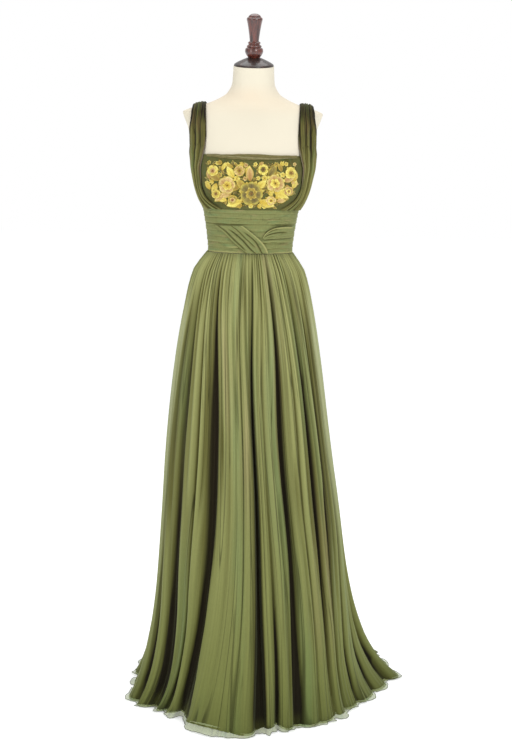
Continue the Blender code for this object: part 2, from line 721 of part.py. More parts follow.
def fold_turn(fold, z):
    """Turn of the fold's valley at this height, on a parabola through its three turns."""
    z0, z1, z2 = WAIST_Z, THIGH_Z, HEM_Z
    return (
        fold.waist * (z - z1) * (z - z2) / ((z0 - z1) * (z0 - z2))
        + fold.thigh * (z - z0) * (z - z2) / ((z1 - z0) * (z1 - z2))
        + fold.hem * (z - z0) * (z - z1) / ((z2 - z0) * (z2 - z1))
    )


def fold_depth(fold, z):
    heights = [HEM_Z, KNEE_Z, HIP_Z, WAIST_Z]
    return curve(heights, [fold.hem_depth, fold.knee_depth, fold.hip_depth, 0.0], z)


def skirt_radius(turn, z):
    """Radius of the skirt's outline, with the swings of its hem."""
    outline = level(SKIRT, z)
    turns = [swing.turn for swing in HEM_SWINGS]
    shares = [swing.share for swing in HEM_SWINGS]
    swing = curve(turns, shares, (turn + 180) % 360 - 180)
    swing *= max(0.0, 1 - z / SWING_TOP_Z) ** 2
    return oval_radius(turn, *outline[1:]) * (1 + swing)


def skirt_ring(folds, z):
    """(turn, radius) of the skirt's outer side at height z, fold by fold."""
    gathers = smoothstep(GATHER_END_Z, GATHER_FULL_Z, z)
    ring = []
    for k, (first, second) in enumerate(zip(folds, folds[1:])):
        uneven = 0.5 + 0.5 * math.sin(CREST_PHASE * k + folds[0].waist)
        crest = CREST_DROP * uneven * (1 - z / WAIST_Z)
        last = k == len(folds) - 2
        shares = zip(FOLD_SHARES + (1.0,) * last, GATHER_SHARES + (1.0,) * last)
        for share, gather_share in shares:
            share = mix(share, gather_share, gathers)
            turn = mix(fold_turn(first, z), fold_turn(second, z), share)
            pillow = (4 * share * (1 - share)) ** FOLD_ROUNDNESS
            depth = mix(fold_depth(first, z), fold_depth(second, z), share)
            gather = 0.5 + 0.5 * math.cos(6 * math.pi * share)
            inward = depth * (1 - pillow) + crest * pillow + GATHER_DEPTH * gathers * gather
            ring.append((turn, skirt_radius(turn, z) - inward))
    return ring


def build_skirt(name, folds, first_fold, last_fold):
    """One panel of the skirt, seamed in the valleys of its first and last fold."""
    per_fold = len(FOLD_SHARES)
    grids = [[], []]
    for row in sorted(SKIRT):
        ring = skirt_ring(folds, row.z)[per_fold * first_fold : per_fold * last_fold + 1]
        first, last = ring[0], ring[-1]
        ring[0] = (seam_turn(first[0], row.z, 1), first[1])
        ring[-1] = (seam_turn(last[0], row.z, -1), last[1])
        outer, inner = [], []
        for k, (turn, radius) in enumerate(ring):
            before, after = ring[max(k - 1, 0)], ring[min(k + 1, len(ring) - 1)]
            along = radius * math.radians(after[0] - before[0])
            slope = math.hypot(along, after[1] - before[1]) / along
            outer.append(polar(turn, radius, row.z))
            inner.append(polar(turn, radius - CLOTH * min(slope, WALL_SLOPE_LIMIT), row.z))
        grids[0].append(outer)
        grids[1].append(inner)
    add_wall(name, "chiffon", *grids)


def main():
    clear_scene()
    surface = FormSurface()
    build_form()
    build_handle()
    build_stand()
    build_bodice(surface)
    build_binding(surface)
    build_midriff(surface)
    build_drape(surface, "drape_left", DRAPE_LEFT)
    build_drape(surface, "drape_right", DRAPE_RIGHT)
    build_strap(surface, "strap_left", -1)
    build_strap(surface, "strap_right", 1)
    build_skirt("skirt_front", FRONT_FOLDS, 0, len(FRONT_FOLDS) - 1)
    for name, (first_fold, last_fold) in BACK_PANELS.items():
        build_skirt(name, BACK_FOLDS, first_fold, last_fold)


main()
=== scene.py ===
# A layered chiffon evening gown on a limbless dress form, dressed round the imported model.
# Metres, +Z up, the gown faces -Y. A turn is a direction round the pole in degrees:
# 0 is the front, +90 is +X and 180 is the back.
import math

import bpy
import numpy as np
from mathutils import Matrix, Vector
from mathutils.bvhtree import BVHTree


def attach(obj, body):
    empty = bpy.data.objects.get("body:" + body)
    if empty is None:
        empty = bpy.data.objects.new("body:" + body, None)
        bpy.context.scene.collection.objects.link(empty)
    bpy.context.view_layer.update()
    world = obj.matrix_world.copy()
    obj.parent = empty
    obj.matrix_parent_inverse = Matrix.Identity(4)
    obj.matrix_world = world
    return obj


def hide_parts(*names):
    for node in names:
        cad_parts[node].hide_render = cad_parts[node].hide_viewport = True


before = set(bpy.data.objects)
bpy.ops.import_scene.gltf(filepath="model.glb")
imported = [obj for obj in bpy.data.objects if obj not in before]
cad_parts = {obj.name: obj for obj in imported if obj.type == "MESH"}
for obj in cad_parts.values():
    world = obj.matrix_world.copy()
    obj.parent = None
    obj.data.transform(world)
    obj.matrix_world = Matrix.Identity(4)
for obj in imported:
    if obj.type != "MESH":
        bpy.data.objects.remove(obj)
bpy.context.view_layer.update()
scene = bpy.context.scene
print("frame loaded:", len(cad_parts), "nodes")


def table(names, *rows):
    return dict(zip(names.split(), np.array(rows, float).T))


def smoothstep(low, high, value):
    share = np.clip((np.asarray(value, float) - low) / (high - low), 0, 1)
    return share * share * (3 - 2 * share)


def mix(first, second, share):
    return first + (second - first) * share


def smoothCurve(xs, ys):  # through the points, never past them
    rise = np.diff(ys) / np.diff(xs)
    both = rise[:-1] * rise[1:]
    total = np.where(both > 0, rise[:-1] + rise[1:], 1)
    slope = np.concatenate([rise[:1], np.where(both > 0, 2 * both / total, 0), rise[-1:]])

    def at(x):
        x = np.clip(x, xs[0], xs[-1])
        k = np.clip(np.searchsorted(xs, x, side="right") - 1, 0, len(xs) - 2)
        step = xs[k + 1] - xs[k]
        t = (x - xs[k]) / step
        ends = ys[k] * (1 + 2 * t) * (1 - t) ** 2 + ys[k + 1] * t * t * (3 - 2 * t)
        return ends + slope[k] * step * t * (1 - t) ** 2 - slope[k + 1] * step * t * t * (1 - t)

    return at


def readTable(columns, place, x):  # every column of a table at x, from its values at the places
    return {name: smoothCurve(place, column)(x) for name, column in columns.items()}


def ripple(x, seed, waves):  # a sum of uneven waves from -1 to 1, the same each run
    draw = np.random.default_rng(seed)
    total = np.zeros(np.shape(x))
    for _ in range(waves):
        total = total + np.sin(x * draw.uniform(0.6, 1.7) + draw.uniform(0, 2 * math.pi))
    return total / math.sqrt(waves)


def polar(turn, radius, z):
    angle = np.radians(turn)
    return np.stack(np.broadcast_arrays(radius * np.sin(angle), -radius * np.cos(angle), z), -1)


def signedTurn(turn):  # from -180 to 180
    return (turn + 180) % 360 - 180


def addNode(tree, kind, inputs=None, **settings):
    node = tree.nodes.new(kind)
    for name, value in settings.items():
        setattr(node, name, value)
    for name, value in (inputs or {}).items():
        if isinstance(value, bpy.types.NodeSocket):
            tree.links.new(value, node.inputs[name])
        else:
            node.inputs[name].default_value = value
    return node


def addMath(tree, operation, first, second=0.0):
    return addNode(tree, "ShaderNodeMath", {0: first, 1: second}, operation=operation).outputs[0]


def addVector(tree, operation, first, second):  # the second is a number for SCALE and a vector otherwise
    inputs = {0: first, "Scale" if operation == "SCALE" else 1: second}
    return addNode(tree, "ShaderNodeVectorMath", inputs, operation=operation).outputs[0]


def addRange(tree, value, start, end, low=0.0, high=1.0, smooth=False):
    inputs = {"Value": value, "From Min": start, "From Max": end, "To Min": low, "To Max": high}
    kind = "SMOOTHSTEP" if smooth else "LINEAR"
    return addNode(tree, "ShaderNodeMapRange", inputs, interpolation_type=kind).outputs[0]


def addMix(tree, share, first, second):  # of two colours
    first, second = ((*side, 1) if isinstance(side, tuple) else side for side in (first, second))
    return addNode(tree, "ShaderNodeMix", {"Factor": share, 6: first, 7: second}, data_type="RGBA").outputs[2]


def addNoise(tree, spot, scale, detail, **more):
    inputs = {"Vector": spot, "Scale": scale, "Detail": detail, **more}
    return addNode(tree, "ShaderNodeTexNoise", inputs).outputs["Fac"]


def addBump(tree, height, strength, distance, **more):
    inputs = {"Height": height, "Strength": strength, "Distance": distance, **more}
    return addNode(tree, "ShaderNodeBump", inputs).outputs["Normal"]


def addMark(tree, name):  # a value that the mesh keeps for each of its points
    return addNode(tree, "ShaderNodeAttribute", attribute_name=name).outputs["Fac"]


def addSpot(tree):
    return addNode(tree, "ShaderNodeTexCoord").outputs["Object"]


def addCloth(tree):  # the place on the cloth, across and along its threads
    return addNode(tree, "ShaderNodeUVMap", uv_map="cloth").outputs["UV"]


def newFinish(name, levels):  # levels are values of the shader's own sockets
    finish = bpy.data.materials.new(name)
    finish.use_nodes = True
    shader = finish.node_tree.nodes["Principled BSDF"]
    for socket, value in levels.items():
        shader.inputs[socket].default_value = value
    return finish, finish.node_tree


def paint(tree, colour, normal=None):  # into the shader of the tree's finish
    shader = tree.nodes["Principled BSDF"]
    tree.links.new(colour, shader.inputs["Base Color"])
    if normal is not None:
        tree.links.new(normal, shader.inputs["Normal"])


def gridFaces(rows, columns, closed=False):
    ring = np.arange(columns)
    left = ring if closed else ring[:-1]
    right = (left + 1) % columns
    base = np.arange(rows - 1)[:, None] * columns
    quads = np.stack([base + left, base + right, base + columns + right, base + columns + left], -1)
    return quads.reshape(-1, 4)


def meshPiece(name, vertices, faces, finish, uv=None, marks=None):
    mesh = bpy.data.meshes.new(name)
    mesh.from_pydata(np.reshape(vertices, (-1, 3)).tolist(), [], [list(f) for f in faces])
    if uv is not None:
        corners = np.concatenate([np.asarray(f) for f in faces])
        layer = mesh.uv_layers.new(name="cloth")
        layer.data.foreach_set("uv", np.reshape(uv, (-1, 2))[corners].astype(np.float32).ravel())
    for mark, values in (marks or {}).items():
        data = mesh.attributes.new(mark, "FLOAT", "POINT").data
        data.foreach_set("value", np.ravel(values).astype(np.float32))
    mesh.materials.append(finish)
    mesh.shade_smooth()
    piece = bpy.data.objects.new(name, mesh)
    scene.collection.objects.link(piece)
    return piece


def thicken(piece, thickness):  # a thin closed wall, grown inwards from the modelled face
    wall = piece.modifiers.new("wall", "SOLIDIFY")
    wall.thickness = thickness
    wall.offset = -1
    return piece


def dress(piece, slot, *nodes):  # what every finished piece gets
    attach(piece, "root")
    if nodes:
        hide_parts(*nodes)
    return piece


def gridPiece(name, points, finish, uv, marks, flip=False):  # uv and marks spread over the grid of points
    faces = gridFaces(*points.shape[:2])
    uv = np.stack(np.broadcast_arrays(*uv), -1)
    marks = {mark: np.broadcast_to(values, points.shape[:2]) for mark, values in marks.items()}
    return meshPiece(name, points, faces[:, ::-1] if flip else faces, finishes[finish], uv, marks)


def finishCloth(piece, give, slot, node):  # a wall that replaces its node
    thicken(piece, give["thickness"])
    dress(piece, slot, node)


def geometryTree(name, inputs):
    tree = bpy.data.node_groups.new(name, "GeometryNodeTree")
    tree.interface.new_socket("Geometry", in_out="INPUT", socket_type="NodeSocketGeometry")
    for label, kind, value in [*inputs, ("Finish", "Material", None)]:
        socket = tree.interface.new_socket(label, in_out="INPUT", socket_type="NodeSocket" + kind)
        if value is not None:
            socket.default_value = value
    tree.interface.new_socket("Geometry", in_out="OUTPUT", socket_type="NodeSocketGeometry")
    return tree, tree.nodes.new("NodeGroupInput").outputs, tree.nodes.new("NodeGroupOutput").inputs


def finishTree(tree, given, put, shape):  # smooth instances become real and take their finish
    real = addNode(tree, "GeometryNodeRealizeInstances", {0: shape.outputs[0]})
    inputs = {0: real.outputs[0], "Material": given["Finish"]}
    coated = addNode(tree, "GeometryNodeSetMaterial", inputs)
    tree.links.new(coated.outputs[0], put[0])
    return tree


def runTree(name, tree, values, points, edges=()):  # a plain mesh from the tree's result
    mesh = bpy.data.meshes.new(name + "Guide")
    mesh.from_pydata(np.reshape(points, (-1, 3)).tolist(), list(edges), [])
    guide = bpy.data.objects.new(name + "Guide", mesh)
    scene.collection.objects.link(guide)
    live = guide.modifiers.new("tree", "NODES")
    live.node_group = tree
    for item in tree.interface.items_tree:
        if item.item_type == "SOCKET" and item.in_out == "INPUT" and item.name in values:
            live[item.identifier] = values[item.name]
    made = bpy.data.meshes.new_from_object(guide.evaluated_get(bpy.context.evaluated_depsgraph_get()))
    bpy.data.objects.remove(guide, do_unlink=True)
    made.name = name
    piece = bpy.data.objects.new(name, made)
    scene.collection.objects.link(piece)
    return piece


def makeCordTree():  # a round cord along the guide's edges
    tree, given, put = geometryTree("couchedCord", [("Radius", "Float", 0.001), ("Sides", "Int", 5)])
    line = addNode(tree, "GeometryNodeMeshToCurve", {0: given[0]})
    ring = addNode(tree, "GeometryNodeCurvePrimitiveCircle",
                   {"Resolution": given["Sides"], "Radius": given["Radius"]})
    inputs = {0: line.outputs[0], 1: ring.outputs[0], "Fill Caps": True}
    tube = addNode(tree, "GeometryNodeCurveToMesh", inputs)
    return finishTree(tree, given, put, addNode(tree, "GeometryNodeSetShadeSmooth", {0: tube.outputs[0]}))


cordTree = makeCordTree()


def buildCords(name, lines, radius, finish, sides):
    starts = np.cumsum([0] + [len(line) for line in lines])
    edges = [(int(start) + k, int(start) + k + 1) for start, line in zip(starts, lines)
             for k in range(len(line) - 1)]
    return runTree(name, cordTree, {"Radius": radius, "Sides": sides, "Finish": finish},
                   np.concatenate(lines), edges)


view = {
    "place": (0.0223, -4.2, 1.5),
    "down": 8.5,  # degrees below level
    "roll": 1.2,
    "lens": 76.7,
    "sensor": 36,
    "reach": 60,
}


def setCamera():
    data = bpy.data.cameras.new("camera")
    data.lens = view["lens"]
    data.sensor_width = view["sensor"]
    data.clip_end = view["reach"]
    camera = bpy.data.objects.new("camera", data)
    turned = Matrix.Rotation(math.radians(90 - view["down"]), 4, "X")
    rolled = Matrix.Rotation(math.radians(view["roll"]), 4, "Z")
    camera.matrix_world = Matrix.Translation(view["place"]) @ turned @ rolled
    scene.collection.objects.link(camera)
    scene.camera = camera


studio = {
    "sky": (1.0, 1.0, 1.0),
    "skyStrength": 0.66,
    "backdrop": 1.0,
    "floor": (0.93, 0.94, 0.95), "floorGlow": 0.42,
    "floorSize": 40.0,
    # name, place, aimed at, width, height, watts
    "boxes": [
        ("keyBox", (1.7, -3.2, 2.9), (0, 0, 1.0), 1.5, 2.2, 52),
        ("fillBox", (-2.4, -2.8, 1.7), (0, 0, 0.8), 1.6, 2.4, 22),
        ("topBox", (0.0, 0.6, 4.2), (0, 0, 0.9), 2.6, 2.6, 44),
    ],
}


def lightStudio():
    world = bpy.data.worlds.new("studio")
    world.use_nodes = True
    sky = world.node_tree.nodes["Background"]
    sky.inputs["Color"].default_value = (*studio["sky"], 1)
    seen = addNode(world.node_tree, "ShaderNodeLightPath").outputs["Is Camera Ray"]
    strength = addRange(world.node_tree, seen, 0.0, 1.0, studio["skyStrength"], studio["backdrop"])
    world.node_tree.links.new(strength, sky.inputs["Strength"])  # the backdrop reads white, and lights less
    scene.world = world
    for name, place, aim, width, height, watts in studio["boxes"]:
        data = bpy.data.lights.new(name, "AREA")
        data.shape = "RECTANGLE"
        data.size, data.size_y, data.energy = width, height, watts
        lamp = bpy.data.objects.new(name, data)
        lamp.location = place
        lamp.rotation_euler = (Vector(aim) - Vector(place)).to_track_quat("-Z", "Y").to_euler()
        scene.collection.objects.link(lamp)
    half = studio["floorSize"] / 2
    paper = (*studio["floor"], 1)
    finish, _ = newFinish("floorPaper", {"Base Color": paper, "Roughness": 0.9, "Emission Color": paper,
                                         "Emission Strength": studio["floorGlow"]})
    corners = [(-half, -half, 0), (half, -half, 0), (half, half, 0), (-half, half, 0)]
    meshPiece("studioFloor", corners, [[0, 1, 2, 3]], finish)
    scene.view_settings.view_transform = "Standard"


setCamera()
lightStudio()
print("camera and studio set")


def shaderGroup(name, inputs, *outputs):
    group = bpy.data.node_groups.new(name, "ShaderNodeTree")
    for label, value in inputs.items():
        kind = "NodeSocketColor" if isinstance(value, tuple) else "NodeSocketFloat"
        group.interface.new_socket(label, in_out="INPUT", socket_type=kind).default_value = value
    for label in outputs:
        kind = "NodeSocketColor" if label == "Color" else "NodeSocketFloat"
        group.interface.new_socket(label, in_out="OUTPUT", socket_type=kind)
    return group, group.nodes.new("NodeGroupInput").outputs, group.nodes.new("NodeGroupOutput").inputs


def scaledCloth(group, given):
    size = addNode(group, "ShaderNodeCombineXYZ", {"X": given["Across"], "Y": given["Along"]})
    return addVector(group, "MULTIPLY", addCloth(group), size.outputs[0])


def makeWeave():  # crossing threads with a crepe twist, as a height
    group, given, put = shaderGroup("clothWeave", {"Threads": 1400.0, "Crepe": 0.5}, "Height", "Slub")
    spot = addSpot(group)
    bands = [addNode(group, "ShaderNodeTexWave", {"Vector": spot, "Scale": given["Threads"]},
                     bands_direction=axis).outputs["Fac"] for axis in ("X", "Z")]
    crepe = addNoise(group, spot, scale=900.0, detail=3.0)
    crossed = addMath(group, "MAXIMUM", *bands)
    both = addNode(group, "ShaderNodeMix", {0: given["Crepe"], 2: crossed, 3: crepe})
    group.links.new(both.outputs[0], put["Height"])
    group.links.new(addNoise(group, spot, scale=160.0, detail=2.0), put["Slub"])
    return group


black = (0, 0, 0, 1)


def makeDrift():  # three dyes that run along the cloth's own threads in long uneven strips
    group, given, put = shaderGroup(
        "dyeDrift",
        {"Ground": black, "Cool": black, "Warm": black, "Across": 3.0, "Along": 2.0, "Streak": 0.2},
        "Color",
    )
    spot = scaledCloth(group, given)
    colour = given["Ground"]
    for dye, shift, low, high in (("Cool", 0.0, 0.50, 0.66), ("Warm", 52.0, 0.54, 0.70)):
        moved = addVector(group, "ADD", spot, (shift, shift, 0))
        noise = addNoise(group, moved, scale=1.0, detail=2.5, Roughness=0.55)
        colour = addMix(group, addRange(group, noise, low, high, smooth=True), colour, given[dye])
    fine = addVector(group, "MULTIPLY", spot, (13.0, 1.0, 1.0))
    thread = addNoise(group, fine, scale=1.0, detail=3.0)
    darkest, lightest = (addMath(group, way, 1.0, given["Streak"]) for way in ("SUBTRACT", "ADD"))
    streak = addRange(group, thread, 0.34, 0.66, darkest, lightest)
    group.links.new(addVector(group, "SCALE", colour, streak), put["Color"])
    return group


def makeFoldShade():  # painted shade deepens the colour in folds and creases, and the edge mark mixes in a paler colour, a painted highlight on most pieces
    group, given, put = shaderGroup(
        "foldShade",
        {"Color": black, "Deep": black, "Edge": black, "Shade": black, "Start": 0.3, "End": 0.9},
        "Color",
    )
    paintedShade = addMark(group, "paintedShade")
    tint = addMix(group, addRange(group, paintedShade, 0.0, given["Start"]), (1, 1, 1), given["Shade"])
    shaded = addVector(group, "MULTIPLY", given["Color"], tint)
    share = addRange(group, paintedShade, given["Start"], given["End"], smooth=True)
    deepened = addMix(group, share, shaded, given["Deep"])
    group.links.new(addMix(group, addMark(group, "edge"), deepened, given["Edge"]), put["Color"])
    return group


def makeCreases():  # thin lines pressed along the cloth, which wander, fork and run out
    group, given, put = shaderGroup(
        "creaseLines", {"Across": 1.5, "Along": 2.0, "Width": 0.05}, "Mask", "Height")
    spot = scaledCloth(group, given)
    masks = []
    for shift, share in ((3.0, 1.0), (21.0, 0.7)):
        moved = addVector(group, "ADD", spot, (shift, shift, 0))
        noise = addNoise(group, moved, scale=1.0 / share, detail=1.0, Roughness=0.4)
        far = addMath(group, "ABSOLUTE", addMath(group, "SUBTRACT", noise, 0.5))
        line = addRange(group, far, given["Width"], 0.0, smooth=True)
        patch = addNoise(group, addVector(group, "SCALE", moved, 0.9), scale=1.0, detail=0.0)
        shown = addRange(group, patch, 0.42, 0.62, smooth=True)
        masks.append(addMath(group, "MULTIPLY", line, shown))
    mask = addMath(group, "MAXIMUM", *masks)
    group.links.new(mask, put["Mask"])
    group.links.new(addMath(group, "SUBTRACT", 1.0, mask), put["Height"])
    return group


weaveGroup = makeWeave()
creaseGroup = makeCreases()
driftGroup = makeDrift()
foldGroup = makeFoldShade()
shadeTint = (1.03, 0.97, 0.74)  # painted shade in folds is yellower as well as darker
chiffonFall = (1.05, 0.02)  # heights between which the skirt's colour deepens
hemRise = 0.11  # up to here the hem is darker, with painted shade near the floor


def makeChiffon(name, look):
    finish, tree = newFinish(name, {
        "Roughness": look["roughness"], "Sheen Weight": look["sheen"], "Sheen Roughness": 0.45,
        "Sheen Tint": (*look["sheenTint"], 1), "Specular IOR Level": 0.10, "Alpha": look.get("alpha", 1.0),
    })
    drift = addNode(tree, "ShaderNodeGroup", {
        "Ground": (*look["ground"], 1), "Cool": (*look["cool"], 1), "Warm": (*look["warm"], 1),
        "Across": look["across"], "Along": look["along"], "Streak": look["streak"],
    }, node_tree=driftGroup)
    crease = addNode(tree, "ShaderNodeGroup", {
        "Across": look["creaseAcross"], "Along": look["creaseAlong"], "Width": look["creaseWidth"],
    }, node_tree=creaseGroup)
    # the crease lines paint shade into the colour as well as bumping the surface
    pressed = addMath(tree, "MULTIPLY", crease.outputs["Mask"], look["creaseDark"])
    paintedShade = addNode(tree, "ShaderNodeGroup", {
        "Color": addMix(tree, pressed, drift.outputs["Color"], look["crease"]),
        "Deep": (*look["deep"], 1), "Edge": (*look["edge"], 1),
        "Shade": (*(look["foldShade"] * part for part in shadeTint), 1),
        "Start": look["foldStart"], "End": look["foldEnd"],
    }, node_tree=foldGroup)
    weave = addNode(tree, "ShaderNodeGroup", node_tree=weaveGroup)
    even = addRange(tree, weave.outputs["Slub"], 0.0, 1.0, 0.93, 1.06)
    # the dye, with painted shade in folds and creases and painted highlights on edges
    dyedAndShaded = paintedShade.outputs["Color"]
    if "low" in look:
        height = addNode(tree, "ShaderNodeSeparateXYZ", {0: addSpot(tree)}).outputs["Z"]
        fallen = addMix(tree, addRange(tree, height, *chiffonFall), (1, 1, 1), look["low"])
        dyedAndShaded = addVector(tree, "MULTIPLY", dyedAndShaded, fallen)
        # painted shade near the floor darkens the hem
        even = addMath(tree, "MULTIPLY", even, addRange(tree, height, 0.0, hemRise, look["hem"]))
    creased = addBump(tree, crease.outputs["Height"], 0.6, look["creaseDepth"])
    normal = addBump(tree, weave.outputs["Height"], 0.35, 0.0002, Normal=creased)
    paint(tree, addVector(tree, "SCALE", dyedAndShaded, even), normal)
    return finish


def readLooks(colours, numbers, rows):  # named looks, with the names of their colours and of their numbers
    looks = {}
    for name, *values in rows:
        looks[name] = dict(zip((colours + " " + numbers).split(), values))
    return looks


# deep and crease are the colours of painted shade in folds and creases, edge that of a paler painted
# highlight
chiffonLooks = readLooks(
    "ground cool warm deep edge crease sheenTint",
    "across along streak foldStart foldEnd foldShade creaseAcross creaseAlong creaseWidth creaseDark "
    "creaseDepth roughness sheen",
    (
        ("skirtChiffon", (0.324, 0.332, 0.130), (0.296, 0.350, 0.150), (0.378, 0.340, 0.158),
         (0.020, 0.014, 0.007), (0.50, 0.53, 0.34), (0.070, 0.070, 0.026), (0.80, 0.90, 0.52),
         0.60, 0.9, 0.09, 0.38, 0.86, 0.44, 2.2, 0.8, 0.024, 0.70, 0.0014, 0.78, 0.14),
        ("sheerChiffon", (0.400, 0.460, 0.230), (0.370, 0.480, 0.250), (0.440, 0.440, 0.230),
         (0.110, 0.130, 0.060), (0.40, 0.46, 0.30), (0.130, 0.150, 0.080), (0.9, 0.95, 0.8),
         2.0, 8.0, 0.10, 0.30, 1.0, 0.80, 3.0, 3.0, 0.030, 0.6, 0.0008, 0.65, 0.10),
        ("rolledHem", (0.080, 0.088, 0.036), (0.075, 0.095, 0.040), (0.095, 0.085, 0.040),
         (0.030, 0.030, 0.015), (0.2, 0.2, 0.1), (0.060, 0.065, 0.030), (0.8, 0.85, 0.6),
         3.0, 8.0, 0.05, 0.30, 1.0, 0.80, 4.0, 3.0, 0.030, 0.3, 0.0002, 0.75, 0.05),
        ("bandChiffon", (0.194, 0.208, 0.076), (0.176, 0.221, 0.086), (0.236, 0.221, 0.092),
         (0.050, 0.054, 0.020), (0.39, 0.375, 0.15), (0.105, 0.115, 0.042), (0.80, 0.88, 0.62),
         2.5, 12.0, 0.06, 0.45, 1.0, 0.55, 1.2, 4.0, 0.022, 0.5, 0.0006, 0.72, 0.15),
        ("strapChiffon", (0.234, 0.228, 0.078), (0.196, 0.240, 0.084), (0.260, 0.202, 0.098),
         (0.014, 0.010, 0.006), (0.215, 0.170, 0.128), (0.034, 0.030, 0.016), (0.75, 0.82, 0.60),
         3.0, 1.0, 0.12, 0.40, 0.98, 0.48, 6.0, 0.7, 0.028, 0.6, 0.0010, 0.74, 0.12),
        ("groundChiffon", (0.104, 0.104, 0.033), (0.090, 0.110, 0.038), (0.124, 0.104, 0.038),
         (0.020, 0.022, 0.010), (0.18, 0.16, 0.09), (0.055, 0.058, 0.022), (0.75, 0.82, 0.60),
         8.0, 8.0, 0.06, 0.35, 1.0, 0.80, 6.0, 3.0, 0.020, 0.3, 0.0005, 0.78, 0.10),
        ("necklineChiffon", (0.236, 0.210, 0.102), (0.186, 0.188, 0.074), (0.300, 0.244, 0.148),
         (0.060, 0.060, 0.025), (0.30, 0.27, 0.19), (0.080, 0.078, 0.040), (0.85, 0.85, 0.70),
         4.0, 3.0, 0.08, 0.35, 1.0, 0.75, 3.0, 4.0, 0.030, 0.5, 0.0006, 0.72, 0.15),
    ),
)
chiffonLooks["skirtChiffon"].update(low=(0.43, 0.47, 0.32), hem=0.82)  # shares of its colour left low down, and at the hem under painted shade
chiffonLooks["sheerChiffon"]["alpha"] = 0.55
finishes = {name: makeChiffon(name, look) for name, look in chiffonLooks.items()}
print("finishes made")


formPiece = {
    "sections": table(
        "z halfWidth front back lean tip",
        (1.020, 0.1380, 0.098, 0.112, 0.000, 0.0),
        (1.060, 0.1350, 0.096, 0.109, 0.000, 0.0),
        (1.110, 0.1240, 0.090, 0.100, 0.000, 0.0),
        (1.155, 0.1125, 0.085, 0.090, 0.000, 0.0),
        (1.200, 0.1075, 0.083, 0.086, 0.000, 0.0),
        (1.245, 0.1115, 0.088, 0.091, 0.000, 0.0),
        (1.290, 0.1185, 0.097, 0.097, 0.000, 0.0),
        (1.330, 0.1265, 0.108, 0.102, 0.000, 0.0),
        (1.370, 0.1370, 0.117, 0.107, 0.000, 0.0),
        (1.410, 0.1460, 0.118, 0.111, 0.000, 0.0),
        (1.450, 0.1550, 0.110, 0.114, 0.001, 0.0),
        (1.490, 0.1620, 0.096, 0.114, 0.003, 0.0),
        (1.520, 0.1690, 0.082, 0.109, 0.005, 0.0),
        (1.545, 0.1790, 0.068, 0.094, 0.006, 0.0),
        (1.558, 0.1825, 0.060, 0.080, 0.005, 0.0),
        (1.569, 0.1600, 0.055, 0.070, 0.004, 1.0),
        (1.581, 0.1190, 0.052, 0.064, 0.002, 2.0),
        (1.593, 0.0910, 0.051, 0.060, 0.000, 4.0),
        (1.608, 0.0680, 0.050, 0.056, -0.002, 5.5),
        (1.635, 0.0550, 0.049, 0.053, -0.005, 7.5),
        (1.678, 0.0525, 0.051, 0.051, -0.008, 9.0),
    ),
    "squareness": 2.3,
    "bustRise": 0.009, "bustX": 0.062, "bustZ": 1.385, "bustSpread": 0.040,
    "columns": 240, "rowStep": 0.005,  # of its mesh
    "jersey": (0.735, 0.680, 0.545), "neckShade": (0.760, 0.630, 0.470),
    "neckShadeZ": (1.535, 1.600, 1.640),  # heights between which the neck gets warm painted shade
}


def formPoints(z, angle):  # rounded sections that lean and tip, with the bust raised on the front
    at = readTable(formPiece["sections"], formPiece["sections"]["z"], z)
    across, ahead = np.sin(angle), np.cos(angle)
    power = 2 / formPiece["squareness"]
    x = at["halfWidth"] * np.sign(across) * np.abs(across) ** power
    depth = np.where(ahead > 0, at["front"], at["back"])
    y = -depth * np.sign(ahead) * np.abs(ahead) ** power
    side = (np.abs(x) - formPiece["bustX"]) / formPiece["bustSpread"]
    up = (z - formPiece["bustZ"]) / formPiece["bustSpread"]
    y = y - formPiece["bustRise"] * np.exp(-side * side - up * up) * smoothstep(0, 0.35, ahead)
    return np.stack(np.broadcast_arrays(x, y + at["lean"], z + y * np.tan(np.radians(at["tip"]))), -1)


def formHeights():  # of the mesh's rows, closer on the flat shoulders
    z, wide = formPiece["sections"]["z"], formPiece["sections"]["halfWidth"]
    heights = []
    for k in range(len(z) - 1):
        pieces = max(2, round(math.hypot(z[k + 1] - z[k], wide[k + 1] - wide[k]) / formPiece["rowStep"]))
        heights.extend(np.linspace(z[k], z[k + 1], pieces, endpoint=False))
    return np.array(heights + [z[-1]])


def makeJersey():  # a fine weave, with warm painted shade round the neck
    levels = {"Roughness": 0.88, "Sheen Weight": 0.2, "Specular IOR Level": 0.2}
    finish, tree = newFinish("formJersey", levels)
    spot = addSpot(tree)
    height = addNode(tree, "ShaderNodeSeparateXYZ", {0: spot}).outputs["Z"]
    low, middle, high = formPiece["neckShadeZ"]
    neck = addRange(tree, height, low, middle, smooth=True)
    throat = addRange(tree, height, high, middle, smooth=True)
    patch = addNoise(tree, spot, scale=9.0, detail=2.0)
    # warm painted shade round the base of the neck
    warm = addMath(tree, "MULTIPLY", addMath(tree, "MULTIPLY", neck, throat), patch)
    weave = addNode(tree, "ShaderNodeGroup", {"Threads": 900.0, "Crepe": 0.25}, node_tree=weaveGroup)
    normal = addBump(tree, weave.outputs["Height"], 0.25, 0.0003)
    paint(tree, addMix(tree, warm, formPiece["jersey"], formPiece["neckShade"]), normal)
    return finish


def buildForm():  # and the tree of its faces, which the cloth is laid on
    heights = formHeights()
    columns = formPiece["columns"]
    points = formPoints(heights[:, None], np.linspace(0, 2 * math.pi, columns, endpoint=False)[None, :])
    faces = [list(quad) for quad in gridFaces(len(heights), columns, closed=True)]
    last = (len(heights) - 1) * columns
    faces.append(list(range(columns))[::-1])
    faces.append([last + k for k in range(columns)])
    form = meshPiece("formBody", points, faces, makeJersey())
    form.data.set_sharp_from_angle(angle=math.radians(50))
    dress(form, "form_cloth", "form_torso")
    return BVHTree.FromPolygons([Vector(p) for p in np.reshape(points, (-1, 3))], faces)


formTree = buildForm()
print("form built")


